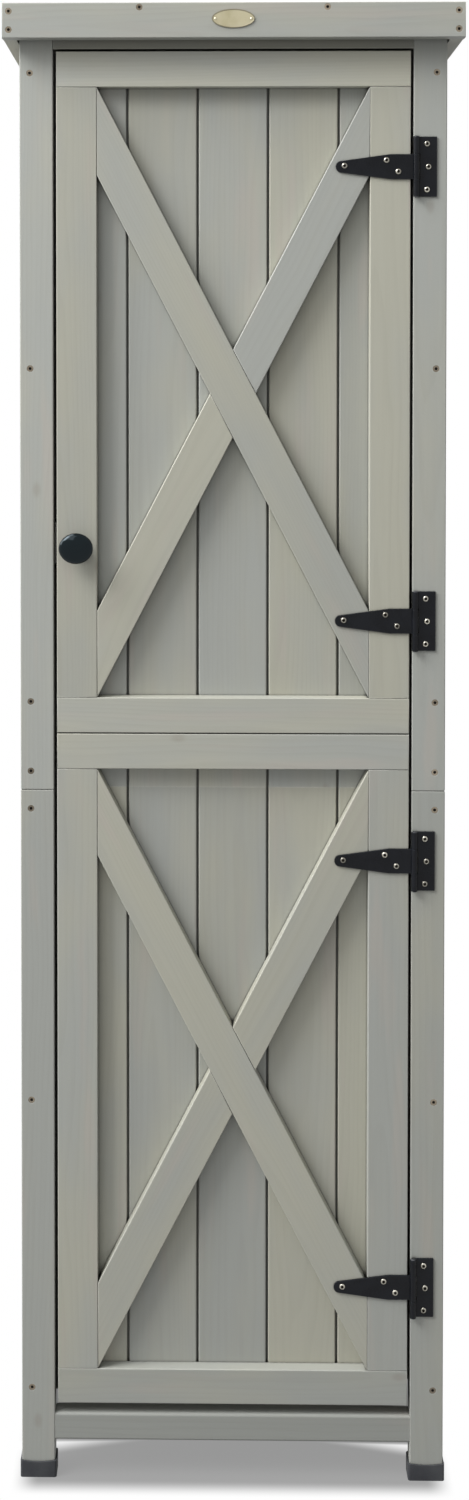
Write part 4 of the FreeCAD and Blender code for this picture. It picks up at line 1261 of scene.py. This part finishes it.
def roll(piece, pin, z_ranges, turn):
    """Spins the end face of a leaf round the pin, for each length of knuckle."""
    near, far = pin.y + BORE, pin.y + BARREL
    score(piece, (0, near, 0), (0, 1, 0))
    score(piece, (0, far, 0), (0, 1, 0))
    for z0, z1 in z_ranges:
        choose(piece, "FACE", lambda face: (lies_at("x", pin.x)(face)
                                            and near < face.calc_center_median().y < far
                                            and z0 < face.calc_center_median().z < z1))
        bpy.ops.mesh.spin(steps=ROLL_STEPS, angle=ROLL_ANGLE * turn, center=(pin.x, pin.y, 0),
                          axis=(0, 0, 1))
        done()
    front = min(v.co.y for v in piece.data.vertices if abs(v.co.x - pin.x) < 1e-6 and v.co.y > pin.y)
    choose(piece, "EDGE", lambda e: lies_at("x", pin.x)(e) and lies_at("y", front)(e))
    bpy.ops.transform.translate(value=(ROLL_END * turn, 0, 0))
    close_up(0.001 * MM)


print("a leaf is rolled", round(math.degrees(ROLL_ANGLE)), "degrees round its pin")

# %% Strap and plate
KNUCKLE_GAP = 0.3 * MM
SLOT_PLAY = 1.2 * MM
STRAP_TAPER = 30.6 * MM
STRAP_TIP = 12.0 * MM
STRAP_TIP_ROUND = 0.46 * STRAP_TIP
STEEL_EDGE = 0.3 * MM


def make_strap(node):
    """The long leaf of one hinge."""
    low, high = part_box(node)
    pin = Vector((high.x - BARREL, high.y - BARREL, 0))
    middle = (low.z + high.z) / 2
    leaf = flat_plane("strap", low.x, pin.x, low.z, high.z, high.y - LEAF)
    score(leaf, (pin.x - STRAP_TAPER, 0, 0), (1, 0, 0))
    choose(leaf, "EDGE", lies_at("x", low.x))
    narrow = STRAP_TIP / (high.z - low.z)
    bpy.ops.transform.resize(value=(1, 1, narrow), center_override=(low.x, 0, middle))
    bpy.ops.mesh.bevel(offset=STRAP_TIP_ROUND, segments=7, affect="VERTICES")
    done()
    thicken(leaf, LEAF)
    roll(leaf, pin, [(low.z, high.z)], -1)
    return soften(leaf, STEEL_EDGE)


def make_plate(node, strap_node):
    """The short leaf of one hinge, with its slot for the strap's knuckle."""
    low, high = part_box(node)
    strap_low, strap_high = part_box(strap_node)
    pin = Vector((low.x + BARREL, low.y + BARREL, 0))
    slot_low = strap_low.z - KNUCKLE_GAP
    slot_high = strap_high.z + KNUCKLE_GAP
    slot_x = pin.x + BARREL + SLOT_PLAY
    leaf = flat_plane("plate", pin.x, high.x, low.z, high.z, high.y - LEAF)
    score(leaf, (slot_x, 0, 0), (1, 0, 0))
    score(leaf, (0, 0, slot_low), (0, 0, 1))
    score(leaf, (0, 0, slot_high), (0, 0, 1))
    choose(leaf, "FACE", lambda face: (face.calc_center_median().x < slot_x
                                       and slot_low < face.calc_center_median().z < slot_high))
    bpy.ops.mesh.delete(type="FACE")
    done()
    thicken(leaf, LEAF)
    roll(leaf, pin, [(low.z, slot_low), (slot_high, high.z)], 1)
    return soften(leaf, STEEL_EDGE)


first_leaves = {"strap": make_strap("hinge_strap_bottom"),
                "plate": make_plate("hinge_plate_bottom", "hinge_strap_bottom")}
for name in ("bottom", "lower_middle", "upper_middle", "top"):
    for kind, pattern in first_leaves.items():
        node = "hinge_" + kind + "_" + name
        leaf = copied(pattern, node + "_steel")
        leaf.location.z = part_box(node)[0].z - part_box("hinge_" + kind + "_bottom")[0].z
        stands_for(settle(leaf), powder_black, node)
for pattern in first_leaves.values():
    bpy.data.objects.remove(pattern)

# %% [markdown]
# ## Turned pieces
#
# Pins, screws, nails and the knob are all turned: a profile drawn from the axis outwards and spun round
# it. A plane merged to one point gives the first vertex, and each extrusion adds the next point of the
# profile, as one would draw it by hand. After the spin the doubles on the axis are merged and the
# normals are made to point outwards.

# %% The lathe


def turned(name, profile, steps):
    """A closed shape turned about the Y axis from (radius, y) points."""
    piece = added(bpy.ops.mesh.primitive_plane_add, name, size=1 * MM)
    bpy.ops.object.mode_set(mode="EDIT")
    bpy.ops.mesh.select_mode(type="VERT")
    bpy.ops.mesh.select_all(action="SELECT")
    bpy.ops.mesh.merge(type="CENTER")
    here = Vector((*profile[0], 0))
    bpy.ops.transform.translate(value=here)
    for point in profile[1:]:
        there = Vector((*point, 0))
        pull(*(there - here))
        here = there
    bpy.ops.mesh.select_all(action="SELECT")
    bpy.ops.mesh.spin(steps=steps, angle=math.radians(360), center=(0, 0, 0), axis=(0, 1, 0))
    close_up(WELD)
    return piece


def arc(centre, radius, start, end, steps):
    """Points on an arc in a profile, angles in degrees from the radius axis."""
    angles = [math.radians(start + (end - start) * step / steps) for step in range(steps + 1)]
    return [(centre[0] + radius * math.cos(a), centre[1] + radius * math.sin(a)) for a in angles]


def cap_arc(radius, rise, y, steps):
    """Points of a spherical cap from the axis to its rim."""
    sphere = (radius ** 2 + rise ** 2) / (2 * rise)
    half = math.degrees(math.asin(radius / sphere))
    return [(max(r, 0.0), t) for r, t in arc((0, y - rise + sphere), sphere, -90, -90 + half, steps)]


cap_sample = [(round(r / MM, 2), round(y / MM, 2)) for r, y in cap_arc(3 * MM, 1 * MM, 0.0, 2)]
print("the lathe is ready; a cap 3 mm in radius runs from the axis, in mm, through", cap_sample)

# %% Turned pieces at their places
DULLNESS = (0.0, 0.05, 0.12, 0.3, 0.45)


def at_places(pattern, node, material, spin=True):
    """Copies a turned piece to every solid of a node, its front end where the solid's is.

    With spin, each copy is turned about its axis and dulled by lot.
    """
    front = min(v.co.y for v in pattern.data.vertices)
    pieces = []
    for low, high in solids(node):
        piece = copied(pattern, node + "_part")
        piece.location = ((low.x + high.x) / 2, low.y - front, (low.z + high.z) / 2)
        if spin:
            piece.rotation_euler = (0, dice.uniform(0, math.pi), 0)
            dull = dice.choice(DULLNESS)
            for item in piece.data.attributes["dirt_and_shade"].data:
                item.value = max(item.value, dull)
        pieces.append(settle(piece))
    bpy.data.objects.remove(pattern)
    return stands_for(joined(pieces, node + "_metal"), material, node)


def cross_cut(piece, span, width, top, depth, core_share):
    """Cuts a cross recess with a wide core into a screw head, narrower at its floor."""
    for half_x, half_z in ((span / 2, width / 2), (width / 2, span / 2)):
        cutter = block("cutter", (-half_x, top - 1 * MM, -half_z), (half_x, top + depth, half_z))
        choose(cutter, "FACE", lies_at("y", top + depth))
        bpy.ops.transform.resize(value=(0.5, 1, 0.5), center_override=(0, 0, 0))
        done()
        carved(piece, cutter)
    core = cone("core", core_share * span, (core_share - 0.24) * span, 2 * depth, 16, (0, top, 0))
    return carved(piece, core)


def darkened_faces(piece, amount):
    """Marks how dark each face is painted: painted shade in a screw's recess, a head dulled by lot, the
    plate's darkened border.
    """
    write_values(piece, "dirt_and_shade", "FLOAT", "FACE", "value", [amount(face) for face in piece.data.polygons])
    return piece


# A screw's recess is painted near black as painted shade, where little light reaches.
def in_recess(reach, top, depth):
    """A measure that is 1 on the faces of a screw's recess and 0 on the rest of the head."""
    def amount(face):
        near_axis = math.hypot(face.center.x, face.center.z) < reach
        steep_or_deep = face.normal.y > -0.6 or face.center.y > top + 0.9 * depth
        return 1.0 if near_axis and face.center.y < top + 1.1 * depth and steep_or_deep else 0.0
    return amount


print("screw heads come in", len(DULLNESS), "grades of dullness")

# %% Screws
ROUND_HEAD = {"head": 3.4 * MM, "rim": 0.35 * MM, "dome": 1.7 * MM, "shank": 1.8 * MM}
ROUND_CROSS = {"span": 3.9 * MM, "width": 1.2 * MM, "depth": 1.3 * MM, "core_share": 0.66}
SUNK_HEAD = {"head": 4.1 * MM, "shank": 2.0 * MM}
SUNK_CROSS = {"span": 4.8 * MM, "width": 1.3 * MM, "depth": 1.4 * MM, "core_share": 0.5}


def length_of(node):
    """The length of a node's screws, from head to point."""
    low, high = solids(node)[0]
    return high.y - low.y


def round_head_screw(length, head, rim, dome, shank):
    """A pan-headed screw: domed head with a rolled rim, shank and point."""
    profile = cap_arc(head - rim, dome - 0.5 * MM, -0.5 * MM, 7)
    profile += arc((head - rim, -rim), rim, -60, 60, 4)
    profile += [(head - 0.4 * MM, 0.0), (shank, 0.0), (shank, length - 2 * shank), (0.0, length)]
    screw = cross_cut(turned("screw", profile, 36), top=-dome, **ROUND_CROSS)
    return darkened_faces(screw, in_recess(2.2 * MM, -dome, ROUND_CROSS["depth"]))


def sunk_screw(length, head, shank):
    """A countersunk screw: flat head with a fine rim, cone, shank and point."""
    profile = [(0.0, 0.0), (head - 0.5 * MM, 0.0), (head - 0.15 * MM, 0.1 * MM), (head, 0.25 * MM),
               (shank, head - shank), (shank, length - 2 * shank), (0.0, length)]
    screw = cross_cut(turned("screw", profile, 36), top=0.0, **SUNK_CROSS)
    return darkened_faces(screw, in_recess(2.6 * MM, 0.0, SUNK_CROSS["depth"]))


for node in ("hinge_strap_screws", "hinge_plate_screws"):
    length = length_of(node) - ROUND_HEAD["dome"]
    at_places(round_head_screw(length, **ROUND_HEAD), node, zinc)
for node in ("post_screws", "fascia_screws"):
    at_places(sunk_screw(length_of(node), **SUNK_HEAD), node, yellow_zinc)

# %% Hinge pins
pin_boxes = solids("hinge_pins")
pin_low, pin_high = pin_boxes[0]
PIN = 1.5 * MM
PIN_HEAD = (pin_high.x - pin_low.x) / 2
PIN_CAP = 1.2 * MM
pin_length = pin_high.z - pin_low.z
pin_profile = [(0.0, 0.0), (PIN_HEAD * 0.55, 0.05 * MM), (PIN_HEAD * 0.85, 0.35 * MM), (PIN_HEAD, 0.8 * MM),
               (PIN_HEAD, PIN_CAP), (PIN, PIN_CAP)]
pin_profile += [(radius, pin_length - along) for radius, along in reversed(pin_profile)]
pins = []
for low, high in pin_boxes:
    pin = turned("pin", pin_profile, 28)
    pin.rotation_euler = (math.radians(90), 0, 0)
    pin.location = ((low.x + high.x) / 2, (low.y + high.y) / 2, low.z)
    pins.append(settle(pin))
stands_for(joined(pins, "hinge_pins_steel"), pin_black, "hinge_pins")

# %% [markdown]
# ## Knob, plate and nails
#
# The knob is a mushroom of black plastic: a foot flange, a waist, and a crown whose rim rolls over into
# its underside. The long curved light on its upper left comes from that rim, so the rim is an arc
# that runs tangent into the crown. On the fascia sits a small oval plate of brass, bare here, with a
# raised border and a domed nail at each end. An oval is a circle scaled one way; the border is an
# inset, and the field inside it is pushed back.

# %% Knob
knob_low, knob_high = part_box("knob")
KNOB_RADIUS = (knob_high.x - knob_low.x) / 2
KNOB_REACH = knob_high.y - knob_low.y
KNOB_LIP = 1.9 * MM
KNOB_SHOULDER = 11.0 * MM
LIP_TILT = 48
SHOULDER_TILT = 22
LIP_BAND = 2.2 * MM
# (radius, y) in mm: the foot flange and the waist behind the crown, seen from the waist backwards
KNOB_FOOT = ((8.5, -6.0), (8.9, -4.9), (10.2, -3.9), (11.6, -3.2), (12.0, -2.6), (12.0, -0.4), (11.7, 0.0),
             (0.0, 0.0))


def on_arc(radius, tilt):
    """How far out and how far back a point of a given tilt lies on an arc, in degrees from the axis."""
    return radius * math.sin(math.radians(tilt)), radius * math.cos(math.radians(tilt))


def knob_profile():
    """Crown, shoulder and lip, each an arc that runs tangent into the next, then underside and foot."""
    lip_out, lip_back = on_arc(KNOB_LIP, LIP_TILT)
    join_out = KNOB_RADIUS - KNOB_LIP + lip_out
    shoulder_out, shoulder_back = on_arc(KNOB_SHOULDER, LIP_TILT)
    start_out, start_back = on_arc(KNOB_SHOULDER, SHOULDER_TILT)
    crown_radius = (join_out - shoulder_out + start_out) / math.sin(math.radians(SHOULDER_TILT))
    crown_y = -KNOB_REACH + crown_radius
    shoulder_y = crown_y - on_arc(crown_radius, SHOULDER_TILT)[1] + start_back
    lip_y = shoulder_y - shoulder_back + lip_back
    under_y = lip_y + LIP_BAND + KNOB_LIP
    print("the crown has a radius of", round(crown_radius, 4), "m; its underside lies", round(-under_y, 4),
          "m out")
    points = arc((0, crown_y), crown_radius, -90, SHOULDER_TILT - 90, 14)
    points += arc((join_out - shoulder_out, shoulder_y), KNOB_SHOULDER, SHOULDER_TILT - 90,
                  LIP_TILT - 90, 9)[1:]
    points += arc((KNOB_RADIUS - KNOB_LIP, lip_y), KNOB_LIP, LIP_TILT - 90, 0, 6)[1:]
    points += arc((KNOB_RADIUS - KNOB_LIP, lip_y + LIP_BAND), KNOB_LIP, 0, 90, 8)
    points += [(9.6 * MM, under_y + 0.05 * MM), (8.7 * MM, under_y + 0.7 * MM)]
    points += [(radius * MM, y * MM) for radius, y in KNOB_FOOT]
    return [(max(radius, 0.0), y) for radius, y in points]


knob = turned("knob_cap", knob_profile(), 72)
knob.scale.z = (knob_high.z - knob_low.z) / (knob_high.x - knob_low.x)
knob.location = ((knob_low.x + knob_high.x) / 2, knob_high.y, (knob_low.z + knob_high.z) / 2)
stands_for(settle(knob), knob_black, "knob")

# %% Oval plate
RIM_WIDTH = 0.9 * MM
FIELD_SINK = 0.3 * MM
RIM_DARKENING = 0.5
NAIL_HEAD = 1.3 * MM
NAIL_RISE = 0.8 * MM
NAIL_SHANK = 0.6 * MM
NAIL_LENGTH = 9.0 * MM

plate_low, plate_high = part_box("nameplate")
plate_size = plate_high - plate_low
oval = added(bpy.ops.mesh.primitive_circle_add, "oval_plate", scale=(plate_size.x, plate_size.z, 1),
             vertices=96, radius=0.5, fill_type="NGON", rotation=(math.radians(90), 0, 0),
             location=((plate_low.x + plate_high.x) / 2, plate_high.y, (plate_low.z + plate_high.z) / 2))
choose(oval, "FACE", everything)
pull(0, -plate_size.y, 0)
bpy.ops.mesh.inset(thickness=RIM_WIDTH)
bpy.ops.mesh.inset(thickness=FIELD_SINK, depth=-FIELD_SINK)
close_up()
soften(oval, 0.15 * MM, 2, 35)
field = max((face.area, face.index) for face in oval.data.polygons if face.normal.y < -0.9)[1]
# Border, step and edges are darkened; only the sunk field keeps the brass tone.
darkened_faces(oval, lambda face: 0.0 if face.index == field else RIM_DARKENING)
stands_for(oval, brass, "nameplate")

nail_profile = cap_arc(NAIL_HEAD, NAIL_RISE, 0.0, 6)
nail_profile += [(NAIL_SHANK, 0.0), (NAIL_SHANK, NAIL_LENGTH - 2 * NAIL_SHANK), (0.0, NAIL_LENGTH)]
at_places(turned("nail", nail_profile, 24), "nameplate_nails", bright_brass, False)

# %% [markdown]
# ## Foot caps and roof covering
#
# Each post stands in a moulded cup. Its walls are a little proud of the post, its corners are round,
# and the lip dips in the middle of each side. A block, an inset and an extrusion downwards give the
# cup; wide flat cylinders take the dip out of the lip. The roof is covered with mineral felt, a sheet
# that follows the fall of the roof and folds down over the rear edge.

# %% Foot caps
CAP_WALL = 1.8 * MM
CAP_FLOOR = 3.0 * MM
CAP_CORNER = 3.0 * MM
CAP_DIP = 1.7 * MM
CAP_EDGE = 0.35 * MM


def foot_cap(low, high):
    """One cup, its lip dipped on all four sides."""
    cup = block("cup", low, high)
    ease(cup, CAP_CORNER, 5, runs_along("z"))
    choose(cup, "FACE", lies_at("z", high.z))
    bpy.ops.mesh.inset(thickness=CAP_WALL)
    pull(0, 0, low.z + CAP_FLOOR - high.z)
    done()
    middle = (low + high) / 2
    for half, turn in (((high.x - low.x) / 2, 0), ((high.y - low.y) / 2, 90)):
        flat = half - CAP_CORNER
        radius = (flat ** 2 + CAP_DIP ** 2) / (2 * CAP_DIP)
        carved(cup, added(bpy.ops.mesh.primitive_cylinder_add, "dip", vertices=360, radius=radius, depth=0.2,
                          location=(middle.x, middle.y, high.z - CAP_DIP + radius),
                          rotation=(math.radians(90), 0, math.radians(turn))))
    return soften(cup, CAP_EDGE, 2, 50)


cups = [foot_cap(low, high) for low, high in solids("foot_caps")]
stands_for(joined(cups, "foot_caps_plastic"), cap_plastic, "foot_caps")

# %% Roof covering
FELT = 1.6 * MM
felt_low, felt_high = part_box("roof_covering")
fold_line = felt_high.y - FELT
drop = math.tan(roof_angle) * (fold_line - felt_low.y)
sheet = block("felt", (felt_low.x, felt_low.y, felt_high.z - FELT), felt_high)
score(sheet, (0, fold_line, 0), (0, 1, 0))
shift(sheet, lambda face: face.calc_center_median().y > fold_line, 0, 0, -drop)
extend(sheet, lambda face: face.normal.z < -0.9 and face.calc_center_median().y > fold_line,
       0, 0, felt_low.z - (felt_high.z - FELT - drop))
soften(sheet, 0.4 * MM, 2, 35)
stands_for(sheet, felt, "roof_covering")

# %% Small parts that keep their CAD shape
for node, material in (("catch_housing", white_plastic), ("catch_magnet", iron), ("catch_screws", zinc),
                       ("catch_strike", zinc), ("knob_screw", zinc)):
    repaint(node, material)
